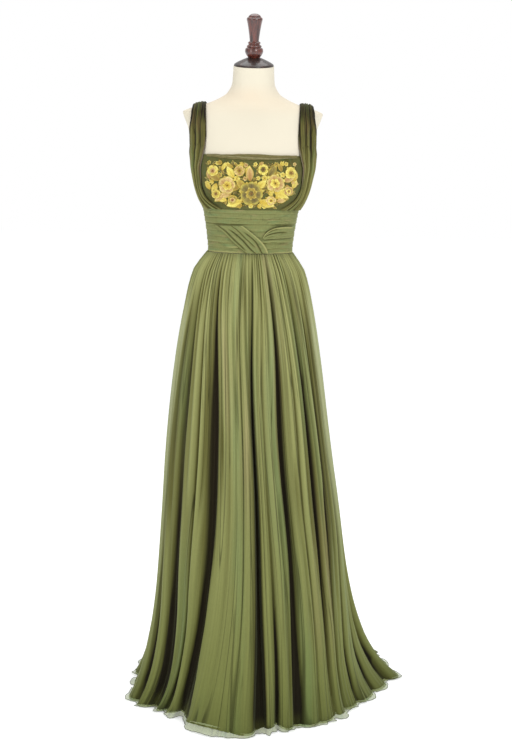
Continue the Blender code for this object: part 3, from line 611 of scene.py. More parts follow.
def layOnForm(starts, directions, lifts):  # a grid of rays from inside the form, stopped a lift outside it
    lifts = np.asarray(lifts, float)[..., None]
    starts, directions, lifts = np.broadcast_arrays(starts, directions, lifts)
    rays = zip(np.reshape(starts, (-1, 3)), np.reshape(directions, (-1, 3)))
    hits = [formTree.ray_cast(Vector(start), Vector(direction))[0] for start, direction in rays]
    skin = np.reshape([tuple(hit) for hit in hits], starts.shape)
    normal = np.cross(np.gradient(skin, axis=1), np.gradient(skin, axis=0))
    normal /= np.maximum(np.linalg.norm(normal, axis=-1, keepdims=True), 1e-12)
    outward = np.sign((normal * directions).sum(-1, keepdims=True))
    return skin + normal * outward * lifts


def layRound(turn, z, lift):  # rays outwards from the pole
    turn, z, lift = np.broadcast_arrays(turn, z, lift)
    zero = np.zeros(turn.shape)
    return layOnForm(np.stack([zero, zero, z], -1), polar(turn, 1.0, zero), lift)


def layAhead(x, z, lift):  # rays straight ahead, for what lies on the front
    x, z, lift = np.broadcast_arrays(x, z, lift)
    return layOnForm(np.stack([x, np.zeros(x.shape), z], -1), np.array([0.0, -1.0, 0.0]), lift)


skirtPiece = {
    "waistZ": 1.1972, "hemZ": 0.0015,
    "outline": table(
        "z left right front back",
        (0.0015, 0.3020, 0.4030, 0.3800, 0.4750),
        (0.055, 0.2800, 0.3620, 0.3640, 0.4380),
        (0.140, 0.2590, 0.3230, 0.3400, 0.3900),
        (0.300, 0.2380, 0.2880, 0.2950, 0.3200),
        (0.500, 0.2260, 0.2610, 0.2490, 0.2620),
        (0.720, 0.2140, 0.2260, 0.2090, 0.2160),
        (0.930, 0.1930, 0.1940, 0.1690, 0.1720),
        (1.070, 0.1700, 0.1680, 0.1390, 0.1410),
        (1.150, 0.1490, 0.1460, 0.1130, 0.1150),
        (1.1972, 0.1145, 0.1135, 0.0895, 0.0925),
    ),
    "squareness": 2.3,
    "hemSwings": table(
        "turn share",
        (-180, 0.00), (-140, 0.03), (-110, 0.02), (-84, 0.00), (-67, 0.03), (-50, -0.09),
        (-36, -0.16), (-26, -0.09), (-15, -0.01), (-5, 0.00), (8, 0.00), (17, -0.10), (30, -0.12),
        (45, -0.14), (60, -0.17), (75, -0.13), (90, -0.02), (109, 0.13), (130, 0.11), (152, 0.05),
        (180, 0.00),
    ),
    "swingTop": 0.50,
    # the folds before the left side sweep outwards as they reach the floor
    "hemSweep": table(
        "turn aside",
        (-78, 0), (-66, -3), (-53, -8), (-42, -11), (-32, -12), (-23, -10), (-13, -4), (-4, 0), (10, 0),
    ),
    "sweepTop": 0.30,
    "thighZ": 0.80, "hipZ": 1.10, "kneeZ": 0.60,  # where the valleys' turns and depths are given
    "roundness": 0.55, "crestDrop": 0.010, "crestPhase": 2.4,
    # valleys: turn at waist, thigh and hem, depth at hip, knee and hem, and half width of the dark floor
    "front": table(
        "waist thigh hem hipDepth kneeDepth hemDepth floor",
        (-78, -86, -84, 0.004, 0.010, 0.014, 0.02),
        (-69, -70, -52, 0.006, 0.014, 0.022, 0.07),
        (-58, -52, -42, 0.009, 0.022, 0.030, 0.12),
        (-49, -37, -32, 0.007, 0.016, 0.022, 0.06),
        (-40, -26, -23, 0.012, 0.028, 0.036, 0.17),
        (-27, -14, -12, 0.006, 0.005, 0.007, 0.00),
        (-12, -4, -1, 0.010, 0.009, 0.007, 0.00),
        (4, 6, 10, 0.015, 0.036, 0.040, 0.09),
        (13, 14, 17, 0.004, 0.009, 0.024, 0.04),
        (23, 27, 25, 0.013, 0.027, 0.024, 0.09),
        (34, 38, 37, 0.006, 0.010, 0.012, 0.03),
        (45, 48, 46, 0.013, 0.022, 0.015, 0.05),
        (56, 57, 56, 0.012, 0.021, 0.017, 0.05),
        (67, 69, 70, 0.007, 0.012, 0.018, 0.03),
        (78, 84, 86, 0.005, 0.016, 0.022, 0.02),
    ),
    "back": table(
        "waist thigh hem hipDepth kneeDepth hemDepth floor",
        (78, 84, 86, 0.005, 0.016, 0.022, 0.02),
        (91, 97, 99, 0.008, 0.020, 0.030, 0.06),
        (103, 109, 112, 0.011, 0.026, 0.034, 0.08),
        (116, 121, 124, 0.006, 0.014, 0.024, 0.04),
        (128, 133, 137, 0.012, 0.028, 0.036, 0.09),
        (143, 147, 150, 0.008, 0.018, 0.026, 0.04),
        (161, 161, 163, 0.012, 0.026, 0.034, 0.08),
        (180, 174, 176, 0.007, 0.016, 0.024, 0.04),
        (192, 187, 189, 0.011, 0.025, 0.031, 0.09),
        (201, 199, 202, 0.007, 0.014, 0.020, 0.04),
        (214, 212, 215, 0.010, 0.022, 0.028, 0.08),
        (228, 225, 229, 0.007, 0.014, 0.020, 0.04),
        (243, 240, 244, 0.010, 0.020, 0.026, 0.08),
        (262, 257, 260, 0.008, 0.018, 0.024, 0.05),
        (282, 274, 276, 0.004, 0.010, 0.014, 0.02),
    ),
    # soft troughs between the valleys: where along the folds they start and end, depth and half width
    "frontCreases": table(
        "uTop zTop uLow zLow depth half",
        (0.55, 1.10, 0.50, 0.20, 0.005, 0.16), (1.45, 1.15, 1.60, 0.35, 0.006, 0.14),
        (2.35, 1.16, 2.50, 0.55, 0.006, 0.12), (2.70, 0.60, 2.60, 0.05, 0.008, 0.15),
        (3.55, 1.17, 3.35, 0.50, 0.008, 0.13), (3.60, 0.55, 3.55, 0.10, 0.007, 0.14),
        (4.35, 1.17, 4.60, 0.60, 0.005, 0.10), (4.55, 0.80, 4.40, 0.05, 0.003, 0.12),
        (5.40, 1.17, 5.55, 0.75, 0.005, 0.10), (5.50, 0.90, 5.40, 0.10, 0.003, 0.10),
        (6.30, 1.17, 6.80, 0.70, 0.009, 0.12), (6.70, 1.17, 6.85, 0.85, 0.007, 0.08),
        (6.45, 0.75, 6.55, 0.05, 0.004, 0.12), (7.50, 1.10, 7.45, 0.30, 0.005, 0.12),
        (8.40, 1.15, 8.55, 0.55, 0.006, 0.12), (8.55, 0.60, 8.60, 0.05, 0.009, 0.12),
        (9.40, 1.17, 9.55, 0.45, 0.005, 0.12), (9.70, 0.70, 9.75, 0.10, 0.006, 0.10),
        (10.45, 1.16, 10.60, 0.35, 0.006, 0.12), (11.40, 1.15, 11.50, 0.30, 0.007, 0.13),
        (11.75, 0.60, 11.65, 0.05, 0.007, 0.10), (12.50, 1.16, 12.45, 0.25, 0.006, 0.14),
        (13.50, 1.12, 13.50, 0.20, 0.005, 0.15),
    ),
    "backCreases": table(
        "uTop zTop uLow zLow depth half",
        (0.50, 1.12, 0.55, 0.20, 0.006, 0.14), (1.45, 1.15, 1.60, 0.30, 0.007, 0.12),
        (2.60, 1.10, 2.40, 0.15, 0.006, 0.13), (3.45, 1.16, 3.60, 0.45, 0.007, 0.12),
        (4.40, 1.15, 4.55, 0.60, 0.006, 0.12), (4.60, 0.60, 4.45, 0.08, 0.008, 0.12),
        (5.55, 1.12, 5.45, 0.20, 0.006, 0.14), (6.40, 1.16, 6.55, 0.40, 0.007, 0.12),
        (7.55, 1.15, 7.40, 0.30, 0.006, 0.12), (8.45, 1.12, 8.60, 0.50, 0.007, 0.12),
        (8.55, 0.50, 8.40, 0.06, 0.008, 0.12), (9.50, 1.14, 9.45, 0.25, 0.006, 0.13),
        (10.40, 1.16, 10.60, 0.35, 0.007, 0.12), (11.55, 1.12, 11.40, 0.15, 0.006, 0.13),
        (12.50, 1.14, 12.55, 0.40, 0.006, 0.12), (13.45, 1.10, 13.50, 0.20, 0.005, 0.14),
    ),
    "gathersPerFold": 3, "gatherDepth": 0.0038, "gatherEnd": 0.98, "gatherFull": 1.175,
    "sway": 1.1, "swayFull": 0.9,  # degrees that a valley wanders off its line, in full below this
    "lean": -0.25, "leanSpread": 0.55,  # folds lap over to one side, each by its own share
    "floorFrom": (1.15, 0.75),  # heights between which the dark floors open
    "hemSpread": 1.0, "hemSpreadTop": 0.40,  # how much wider they open towards the hem
    "crinkle": 0.0008, "fullShadeDepth": 0.020,  # a fold this deep gets the full painted shade
    # lighter streaks in the painted shade of the hollows, and painted shade in the waist's gathers
    "hollowStreak": 0.20, "gatherShade": 1.2,
    "softFolds": 1.1, "softFrom": (0.62, 0.08),  # the painted shade of shallow folds fades on the way down, that of deep ones stays
    "hemDark": 0.60, "hemLit": (0.004, 0.075),  # the floor lights the folds from below at the hem
    "columnsPerFold": 36, "rows": 84, "thickness": 0.0011,
    # where the close layers end, and how much higher they do at the lobe, its turn and spread
    "opaqueHem": (0.003, 0.016), "lobeHem": (0.020, -15, 13),
    "liftTop": 0.12,  # below this the rows draw up towards that end
    "sheer": {"overlap": 0.005, "stand": 0.0013, "flare": 0.0065, "ruffle": 0.0035, "rows": 16,
              "floor": 0.0018, "lift": 0.0040, "roll": 0.0007, "aside": 0.25,
              "readTo": 0.06, "readings": 24},  # the skirt's own surface is read up to here
    "fullness": 1.15,  # cloth taken up in the waist's finest gathers
    # at the sides the top layer hangs loose: turns and heights of a painted pale rim of light there, and of
    # painted shade beside it
    "loose": {"from": (63, 73), "to": (101, 82), "dark": (55, 61), "darkTo": (68, 63),
              "top": (1.14, 0.98), "bottom": (0.18, 0.75), "pale": 0.66, "shade": 0.42},
}


def skirtRadius(turn, z):  # outline round the crests, with the swings of the hem
    outline = readTable(skirtPiece["outline"], skirtPiece["outline"]["z"], z)
    across, ahead = np.sin(np.radians(turn)), np.cos(np.radians(turn))
    wide = np.abs(across) / np.where(across > 0, outline["right"], outline["left"])
    deep = np.abs(ahead) / np.where(ahead > 0, outline["front"], outline["back"])
    power = skirtPiece["squareness"]
    swings = skirtPiece["hemSwings"]
    swing = smoothCurve(swings["turn"], swings["share"])(signedTurn(turn))
    swing = swing * np.maximum(0, 1 - z / skirtPiece["swingTop"]) ** 2
    return (wide**power + deep**power) ** (-1 / power) * (1 + swing)


def foldTurn(folds, k, z):  # each valley runs on a parabola through its three turns
    heights = [skirtPiece["waistZ"], skirtPiece["thighZ"], skirtPiece["hemZ"]]
    turn = 0
    for name, here in zip(("waist", "thigh", "hem"), heights):
        first, second = (height for height in heights if height != here)
        turn = turn + folds[name][k] * (z - first) * (z - second) / ((here - first) * (here - second))
    return turn


def foldDepth(folds, z):  # depth of every valley at every height
    heights = np.array([skirtPiece[name] for name in ("hemZ", "kneeZ", "hipZ", "waistZ")])
    ends = np.zeros(len(folds["waist"]))
    stack = np.stack([folds["hemDepth"], folds["kneeDepth"], folds["hipDepth"], ends])
    return np.stack([smoothCurve(heights, column)(z) for column in stack.T])


def foldShares(count, per):  # columns crowd towards the valleys
    within = 0.5 - 0.5 * np.cos(math.pi * np.arange(per) / per)
    return np.append(np.add.outer(np.arange(count), within).ravel(), count)


def foldTroughs(creases, u, z):  # soft creases between the valleys, which fade at both ends
    trough = np.zeros(u.shape)
    for uTop, zTop, uLow, zLow, deep, half in zip(*creases.values()):
        along = np.clip((zTop - z) / (zTop - zLow), 0, 1)
        off = (u - mix(uTop, uLow, along)) / half
        fade = smoothstep(zLow - 0.10, zLow + 0.12, z) * smoothstep(zTop + 0.03, zTop - 0.10, z)
        trough += deep * fade * np.exp(-off * off)
    return trough


def skirtSurface(folds, creases, u, z, seed):  # turn, radius, height and painted shade of every point
    give = skirtPiece
    u, z = np.meshgrid(u, z)
    count = len(folds["waist"]) - 1
    k = np.clip(u.astype(int), 0, count - 1)
    share = u - k
    low, high = folds["floor"][k], folds["floor"][k + 1]
    drape = smoothstep(*give["floorFrom"], z) * (1 + 0.35 * ripple(z * 9 + k * 2.3, seed + 6, 3))
    drape = drape * (1 + give["hemSpread"] * smoothstep(give["hemSpreadTop"], 0, z))
    inside = np.clip((share - low * drape) / (1 - (low + high) * drape), 0, 1)
    turn = mix(foldTurn(folds, k, z), foldTurn(folds, k + 1, z), share)
    free = np.sin(math.pi * u / count) ** 0.5 * smoothstep(give["waistZ"], give["swayFull"], z)
    turn = turn + give["sway"] * free * ripple(z * 6.5 + u * 0.8, seed + 7, 4)
    aside = smoothCurve(give["hemSweep"]["turn"], give["hemSweep"]["aside"])(signedTurn(turn))
    turn = turn + aside * np.maximum(0, 1 - z / give["sweepTop"]) ** 2
    depths = foldDepth(folds, z[:, 0])
    rows = np.arange(z.shape[0])[:, None]
    depth = mix(depths[k, rows], depths[k + 1, rows], share)
    lean = give["lean"] + give["leanSpread"] * ripple(k * 2.7 + z * 2, seed + 9, 3)
    leaning = inside ** 2**lean
    pillow = (4 * leaning * (1 - leaning)) ** give["roundness"]
    uneven = 0.5 + 0.5 * np.sin(give["crestPhase"] * k + folds["waist"][0])
    crest = give["crestDrop"] * uneven * (1 - z / give["waistZ"])
    trough = foldTroughs(creases, u, z)
    gathers = smoothstep(give["gatherEnd"], give["gatherFull"], z)
    wander = 1.2 * ripple(u * 3.3 + z * 3, seed, 3)
    gather = 0.5 + 0.5 * np.cos(2 * math.pi * give["gathersPerFold"] * u + wander)
    gather = gather * (0.75 + 0.25 * ripple(u * 3.1, seed + 1, 3))
    crinkle = give["crinkle"] * ripple(u * 22 + 1.8 * ripple(z * 9 + u, seed + 2, 3), seed + 3, 4)
    crinkle = crinkle * (0.4 + 0.6 * smoothstep(0.9, 0.1, z))
    inward = depth * (1 - pillow) + crest * pillow + trough * pillow
    inward = inward + give["gatherDepth"] * gathers * gather + crinkle
    radius = skirtRadius(turn, z) - inward
    gatherShade = gathers * gather**3 * (0.5 + 0.5 * ripple(u * 2.3, seed + 5, 3))
    # painted shade in the valleys, the soft troughs and the waist's gathers
    dark = (depth * (1 - pillow) + 0.8 * trough * pillow) / give["fullShadeDepth"]
    dark = dark * (1 + 0.3 * ripple(z * 5 + u * 1.1, seed + 8, 3)) + give["gatherShade"] * gatherShade
    soft = 1 + give["softFolds"] * smoothstep(*give["softFrom"], z)
    dark = np.clip(dark, 0, 1) ** soft
    dark = dark * mix(give["hemDark"], 1.0, smoothstep(*give["hemLit"], z))
    streaks = smoothstep(0.2, 1.2, ripple(u * 8 + z * 3, seed + 15, 3))
    return turn, radius, z, np.clip(dark, 0, 1) * (1 - give["hollowStreak"] * streaks)


def paintSideLightAndShade(turn, z, dark, seed):  # a painted pale rim of light where the top layer hangs loose at the sides, painted shade beside it
    give = skirtPiece["loose"]
    side = np.abs(signedTurn(turn))
    fall = smoothstep(*give["top"], z) * smoothstep(*give["bottom"], z)
    uneven = 0.8 + 0.2 * ripple(turn * 0.9 + z * 4, seed + 17, 3)
    pale = smoothstep(*give["from"], side) * smoothstep(*give["to"], side) * fall * uneven
    pale = pale * (1 - 0.8 * dark)
    beside = smoothstep(*give["dark"], side) * smoothstep(*give["darkTo"], side) * fall
    dark = np.clip(dark * (1 - 0.4 * pale) + give["shade"] * beside, 0, 1)
    return dark, np.clip(give["pale"] * pale, 0, 1)


def skirtRows(low, high, rows):  # rows crowd towards the waist and the hem
    share = np.linspace(0, 1, rows)
    return mix(low, high, share + 0.09 * np.sin(2 * math.pi * share))


def buildSheerHem(name, folds, creases, u, edge, seed):  # the top layer runs on past the close ones
    give = skirtPiece["sheer"]
    share = np.linspace(0, 1, give["rows"])[:, None]
    levels = np.linspace(skirtPiece["hemZ"], give["readTo"], give["readings"])
    turn, radius, _, dark = skirtSurface(folds, creases, u, levels, seed)
    height = mix(edge[None, :] + give["overlap"], give["floor"], share**0.9)
    level = (height - levels[0]) / (levels[-1] - levels[0]) * (len(levels) - 1)
    row = np.clip(level.astype(int), 0, len(levels) - 2)
    column = np.arange(len(u))[None, :]
    within = np.clip(level - row, 0, 1)
    turn, radius, dark = (mix(values[row, column], values[row + 1, column], within)
                          for values in (turn, radius, dark))
    wave = ripple(u * 6.5 + 1.5 * ripple(u * 1.9, seed + 12, 3), seed + 13, 3)[None, :]
    out = give["stand"] + give["flare"] * share**1.6 + give["ruffle"] * wave * share**1.4
    raised = np.clip(0.5 + 0.5 * ripple(u * 4.1, seed + 14, 4), 0, 1)
    height = height + give["lift"] * raised[None, :] * share**2
    points = polar(turn + give["aside"] * wave * share, radius + out, height)
    # painted shade of the valleys, weaker through the sheer layer
    sheer = gridPiece(name + "Sheer", points, "sheerChiffon", (u[None, :], height), {"paintedShade": 0.3 * dark})
    roll = buildCords(name + "RolledHem", [points[-1]], give["roll"], finishes["rolledHem"], 5)
    for piece in (sheer, roll):
        dress(piece, "chiffon")


def buildSkirt(name, node, side, first, last, seed):  # one panel, from one valley of its side to another
    give, folds, creases = skirtPiece, skirtPiece[side], skirtPiece[side + "Creases"]
    u = first + foldShares(last - first, give["columnsPerFold"])
    z = skirtRows(give["hemZ"], give["waistZ"], give["rows"])
    turn, radius, height, dark = skirtSurface(folds, creases, u, z, seed)
    rise, centre, spread = give["lobeHem"]
    edge = mix(*give["opaqueHem"], smoothstep(0.0, 1.3, ripple(u * 1.7, seed + 9, 4)))
    edge = edge + rise * np.exp(-(((signedTurn(turn[0]) - centre) / spread) ** 2))
    lifted = height + np.maximum(0, edge[None, :] - height) * smoothstep(give["liftTop"], 0.0, height)
    points = polar(turn, radius, lifted)
    dark, pale = paintSideLightAndShade(turn, height, dark, seed)
    # the marks carry painted shade and the painted pale rim of light
    skirt = gridPiece(name, points, "skirtChiffon", (u[None, :], height), {"paintedShade": dark, "edge": pale})
    finishCloth(skirt, give, "chiffon", node)
    buildSheerHem(name, folds, creases, u, edge, seed)
    print(name, "built")


for panel in (
    ("skirtFront", "skirt_front", "front", 0, 14, 11),
    ("skirtBackRight", "skirt_back_right", "back", 0, 7, 23),
    ("skirtBackLeft", "skirt_back_left", "back", 7, 11, 23),
    ("skirtSideLeft", "skirt_side_left", "back", 11, 14, 23),
):
    buildSkirt(*panel)


threadLooks = {
    "lemon": {"light": (0.960, 0.850, 0.170), "dark": (0.660, 0.450, 0.035), "rim": (0.980, 0.900, 0.300)},
    "gold": {"light": (0.600, 0.430, 0.055), "dark": (0.330, 0.205, 0.024), "rim": (0.850, 0.760, 0.170)},
    "copper": {"light": (0.860, 0.640, 0.240), "dark": (0.450, 0.220, 0.050), "rim": (0.900, 0.800, 0.240)},
    "bronze": {"light": (0.340, 0.262, 0.045), "dark": (0.120, 0.085, 0.015), "rim": (0.740, 0.640, 0.110)},
}


def makeThread(name, look):  # silk in satin stitch, laid side by side with a soft gloss
    levels = {"Roughness": 0.42, "Sheen Weight": 0.12, "Sheen Roughness": 0.35}
    finish, tree = newFinish(name + "Thread", levels)
    inside = addMix(tree, addMark(tree, "tone"), look["dark"], look["light"])
    edged = addMix(tree, addMark(tree, "rim"), inside, look["rim"])
    strand = addNode(tree, "ShaderNodeTexWave", {
        "Vector": addCloth(tree), "Scale": 520.0, "Distortion": 1.5, "Detail": 1.0, "Detail Scale": 0.6,
    }, bands_direction="X").outputs["Fac"]
    lit = addRange(tree, strand, 0.0, 1.0, 0.74, 1.08)
    paint(tree, addVector(tree, "SCALE", edged, lit), addBump(tree, strand, 0.7, 0.0003))
    return finish


def makeBead(name, colour, metallic):  # uneven in colour, under a clear coat
    finish, tree = newFinish(name, {"Roughness": 0.22, "Metallic": metallic, "Coat Weight": 0.6})
    drift = addNoise(tree, addSpot(tree), scale=240.0, detail=1.0)
    paint(tree, addVector(tree, "SCALE", colour, addRange(tree, drift, 0.0, 1.0, 0.55, 1.4)))
    return finish


threads = {name: makeThread(name, look) for name, look in threadLooks.items()}
beadFinishes = {
    "goldBeads": makeBead("goldBead", (0.70, 0.52, 0.13), 0.75),
    "copperBeads": makeBead("copperBead", (0.42, 0.17, 0.07), 0.65),
    "darkBeads": makeBead("darkBead", (0.050, 0.045, 0.018), 0.3),
}


def makeBeadTree():  # a round bead on every guide point, each a little larger or smaller
    tree, given, put = geometryTree(
        "sewnBeads", [("Radius", "Float", 0.001), ("Uneven", "Float", 0.25), ("Seed", "Int", 0)])
    ball = addNode(tree, "GeometryNodeMeshIcoSphere", {"Radius": given["Radius"], "Subdivisions": 2})
    soft = addNode(tree, "GeometryNodeSetShadeSmooth", {0: ball.outputs[0]})
    least, most = (addMath(tree, way, 1.0, given["Uneven"]) for way in ("SUBTRACT", "ADD"))
    size = addNode(tree, "FunctionNodeRandomValue", {2: least, 3: most, "Seed": given["Seed"]},
                   data_type="FLOAT")
    inputs = {"Points": given[0], "Instance": soft.outputs[0], "Scale": size.outputs[1]}
    return finishTree(tree, given, put, addNode(tree, "GeometryNodeInstanceOnPoints", inputs))


beadTree = makeBeadTree()


embroideryPiece = {
    "ground": 0.0029,  # the bodice cloth's outer face, over the form
    "map": {"side": (-0.97, 0.97, 127), "z": (1.298, 1.458, 81)},  # a side is a share of the half width
    "blossoms": table(
        "x z radius petals height turn",
        (0.000, 1.355, 0.0300, 7, 0.0022, 14), (-0.060, 1.374, 0.0215, 5, 0.0018, 40),
        (0.060, 1.381, 0.0225, 6, 0.0018, 75), (-0.096, 1.409, 0.0145, 5, 0.0015, 10),
        (0.098, 1.407, 0.0145, 5, 0.0015, 55), (-0.031, 1.410, 0.0135, 5, 0.0014, 25),
        (0.030, 1.414, 0.0140, 6, 0.0014, 62), (-0.046, 1.338, 0.0120, 5, 0.0013, 5),
        (0.050, 1.338, 0.0130, 6, 0.0013, 33), (-0.087, 1.352, 0.0120, 5, 0.0013, 50),
        (0.093, 1.362, 0.0120, 5, 0.0013, 20),
    ),
    # threads of each blossom: the pointed petals behind, then the round ones from the outer ring in
    "blossomThreads": (
        ("gold", "bronze", "gold", "bronze"), ("gold", "copper", "lemon"), ("lemon", "copper", "lemon"),
        ("bronze", "lemon", "copper"), ("lemon", "lemon", "gold"), ("lemon", "copper", "gold"),
        ("bronze", "lemon", "bronze"), ("lemon", "gold", "copper"), ("gold", "copper", "lemon"),
        ("copper", "lemon", "gold"), ("bronze", "copper", "lemon"),
    ),
    "leaves": table(
        "x z length width slant height",
        (-0.022, 1.336, 0.042, 0.022, 200, 0.0016), (0.020, 1.336, 0.042, 0.022, -18, 0.0016),
        (-0.066, 1.354, 0.034, 0.018, 222, 0.0014), (0.058, 1.360, 0.040, 0.021, -24, 0.0014),
        (-0.078, 1.386, 0.034, 0.017, 152, 0.0014), (0.080, 1.386, 0.034, 0.017, 24, 0.0014),
        (-0.044, 1.392, 0.034, 0.018, 122, 0.0013), (0.044, 1.398, 0.033, 0.017, 56, 0.0013),
        (-0.003, 1.385, 0.039, 0.021, 94, 0.0014), (-0.032, 1.365, 0.028, 0.015, 160, 0.0012),
        (0.032, 1.366, 0.027, 0.015, 24, 0.0012), (-0.060, 1.336, 0.026, 0.014, 172, 0.0011),
        (0.064, 1.336, 0.026, 0.014, 8, 0.0011), (-0.104, 1.388, 0.026, 0.014, 102, 0.0011),
        (0.107, 1.386, 0.026, 0.014, 78, 0.0011), (-0.074, 1.410, 0.022, 0.010, 66, 0.0010),
        (0.076, 1.411, 0.020, 0.010, 116, 0.0010), (-0.014, 1.404, 0.022, 0.012, 62, 0.0010),
        (0.046, 1.420, 0.018, 0.008, 8, 0.0010), (-0.046, 1.418, 0.017, 0.008, 160, 0.0010),
        (-0.102, 1.362, 0.024, 0.013, 124, 0.0010), (0.104, 1.368, 0.024, 0.013, 66, 0.0010),
        (0.062, 1.342, 0.038, 0.020, 48, 0.0013), (0.088, 1.378, 0.030, 0.017, -76, 0.0012),
        (-0.050, 1.356, 0.034, 0.018, 200, 0.0013), (-0.086, 1.378, 0.028, 0.015, -116, 0.0012),
        (0.014, 1.366, 0.034, 0.018, 42, 0.0013), (-0.014, 1.366, 0.034, 0.018, 138, 0.0013),
    ),
    "leafThreads": "lemon lemon copper lemon gold copper lemon bronze copper gold bronze lemon copper copper "
                   "lemon lemon gold lemon bronze gold lemon lemon lemon copper copper lemon lemon gold",
    "sprigs": table(  # small blossoms that fill the ground
        "x z radius turn",
        (-0.037, 1.391, 0.0085, 0), (0.034, 1.393, 0.0085, 20), (-0.079, 1.399, 0.0070, 40),
        (0.078, 1.402, 0.0075, 10), (-0.014, 1.424, 0.0060, 30), (0.010, 1.427, 0.0058, 5),
        (-0.060, 1.425, 0.0064, 15), (0.062, 1.427, 0.0066, 45), (-0.111, 1.378, 0.0062, 25),
        (0.113, 1.380, 0.0060, 60), (-0.034, 1.322, 0.0058, 12), (0.034, 1.321, 0.0060, 50),
        (-0.062, 1.352, 0.0062, 33), (0.072, 1.346, 0.0060, 8), (-0.086, 1.428, 0.0055, 50),
        (0.087, 1.429, 0.0058, 35), (-0.107, 1.430, 0.0050, 20), (0.108, 1.429, 0.0050, 5),
        (0.000, 1.322, 0.0062, 18), (-0.016, 1.391, 0.0062, 44), (0.018, 1.393, 0.0060, 8),
    ),
    "sprigThreads": "lemon lemon gold lemon copper lemon lemon gold lemon copper gold lemon lemon copper "
                    "lemon lemon gold copper lemon copper lemon",
    "buds": table(  # three petals fanned from one root
        "x z length slant",
        (-0.020, 1.428, 0.0130, 200), (0.020, 1.428, 0.0140, -10), (-0.074, 1.428, 0.0130, 170),
        (0.074, 1.424, 0.0140, 60), (-0.050, 1.354, 0.0150, 190), (0.043, 1.356, 0.0160, 10),
        (-0.094, 1.384, 0.0140, 210), (0.100, 1.386, 0.0130, -30), (-0.022, 1.324, 0.0140, 180),
        (0.016, 1.323, 0.0140, 0), (-0.074, 1.340, 0.0130, 200), (0.080, 1.344, 0.0130, -20),
    ),
    "budFan": ((-30, 0.85, 0.0005), (30, 0.85, 0.0005), (0, 1.0, 0.0009)),  # turn, length and lift
    "budThreads": "lemon copper gold lemon copper lemon lemon copper gold lemon copper gold",
    "stems": table(  # from, by way of, and to
        "x0 z0 x1 z1 x2 z2",
        (-0.030, 1.352, -0.045, 1.356, -0.048, 1.366), (0.030, 1.350, 0.040, 1.364, 0.047, 1.368),
        (-0.078, 1.386, -0.092, 1.390, -0.094, 1.396), (0.078, 1.394, 0.090, 1.388, 0.096, 1.396),
        (-0.004, 1.386, -0.022, 1.394, -0.027, 1.402), (0.006, 1.386, 0.024, 1.398, 0.026, 1.406),
        (-0.036, 1.418, -0.046, 1.430, -0.060, 1.424), (0.036, 1.420, 0.046, 1.432, 0.060, 1.425),
        (-0.106, 1.414, -0.096, 1.430, -0.080, 1.427), (0.106, 1.412, 0.100, 1.430, 0.084, 1.428),
        (-0.082, 1.343, -0.074, 1.328, -0.060, 1.324), (0.086, 1.350, 0.080, 1.332, 0.064, 1.324),
    ),
    "undergrowth": {"count": 120, "length": (0.009, 0.018), "threads": ("bronze", "bronze", "gold"),
                    "spread": 0.112, "middle": 1.36, "stray": 70, "wide": 0.45, "lift": 0.0001,
                    "height": 0.0006},
    # a patch's widest place and its outline, both as powers, and the depth of its vein
    "cuts": {"petal": (1.5, 0.62, 0.30), "leaf": (0.9, 0.95, 0.45)},
    "leafLift": 0.0005, "sprigPetals": 5, "sprigWide": 0.85, "sprigLift": 0.0004, "sprigHeight": 0.0009,
    "sprigHeart": 0.0013, "budWide": 0.42, "budHeight": 0.0010,
    # shares of a petal's reach: where it starts, its length, its width behind and in front
    "petalRoot": 0.10, "petalLong": 0.92, "petalWide": {"leaf": 1.25, "petal": 1.85},
    "petalLift": 0.0004, "petalLap": 0.00025, "innerHeight": 0.75,
    "heart": 0.17, "heartLift": 0.0020, "heartSteps": ((1.0, 1, 0.0), (0.4, 2, 0.0005)),
    "behind": 1.12,  # size of the pointed petals
    "petalGrid": (8, 7), "leafGrid": (10, 7), "sprigGrid": (5, 5), "backing": 0.0004,
    "ringShrink": 0.56, "ringRise": 0.0010, "cord": 0.00045, "stemCord": 0.0006, "cordLift": 0.0004,
    # count, radius and seed
    "beads": {"goldBeads": (260, 0.00095, 91), "copperBeads": (110, 0.00075, 92),
              "darkBeads": (120, 0.0007, 93)},
    "field": (0.112, 1.319, 1.430),  # half width and heights that loose beads keep to
    "narrow": (0.58, 1.365),  # its share of the width at the bottom, and where it is full
}


def makeFrontMap():  # where the form's front lies and faces, read once for everything sewn to it
    side, z = (np.linspace(*embroideryPiece["map"][name]) for name in ("side", "z"))
    wide = smoothCurve(formPiece["sections"]["z"], formPiece["sections"]["halfWidth"])
    x = side[None, :] * wide(z)[:, None]
    skin = layAhead(x, z[:, None], 0.0)
    facing = layAhead(x, z[:, None], 1.0) - skin

    def at(px, pz, lift):
        px, pz, lift = np.broadcast_arrays(px, pz, lift)
        column = np.clip((px / wide(pz) - side[0]) / (side[1] - side[0]), 0, len(side) - 1.001)
        row = np.clip((pz - z[0]) / (z[1] - z[0]), 0, len(z) - 1.001)
        c, r = column.astype(int), row.astype(int)
        across, up = (column - c)[..., None], (row - r)[..., None]
        low = [mix(grid[r, c], grid[r, c + 1], across) for grid in (skin, facing)]
        high = [mix(grid[r + 1, c], grid[r + 1, c + 1], across) for grid in (skin, facing)]
        place, normal = (mix(a, b, up) for a, b in zip(low, high))
        return place + normal * lift[..., None]

    return at


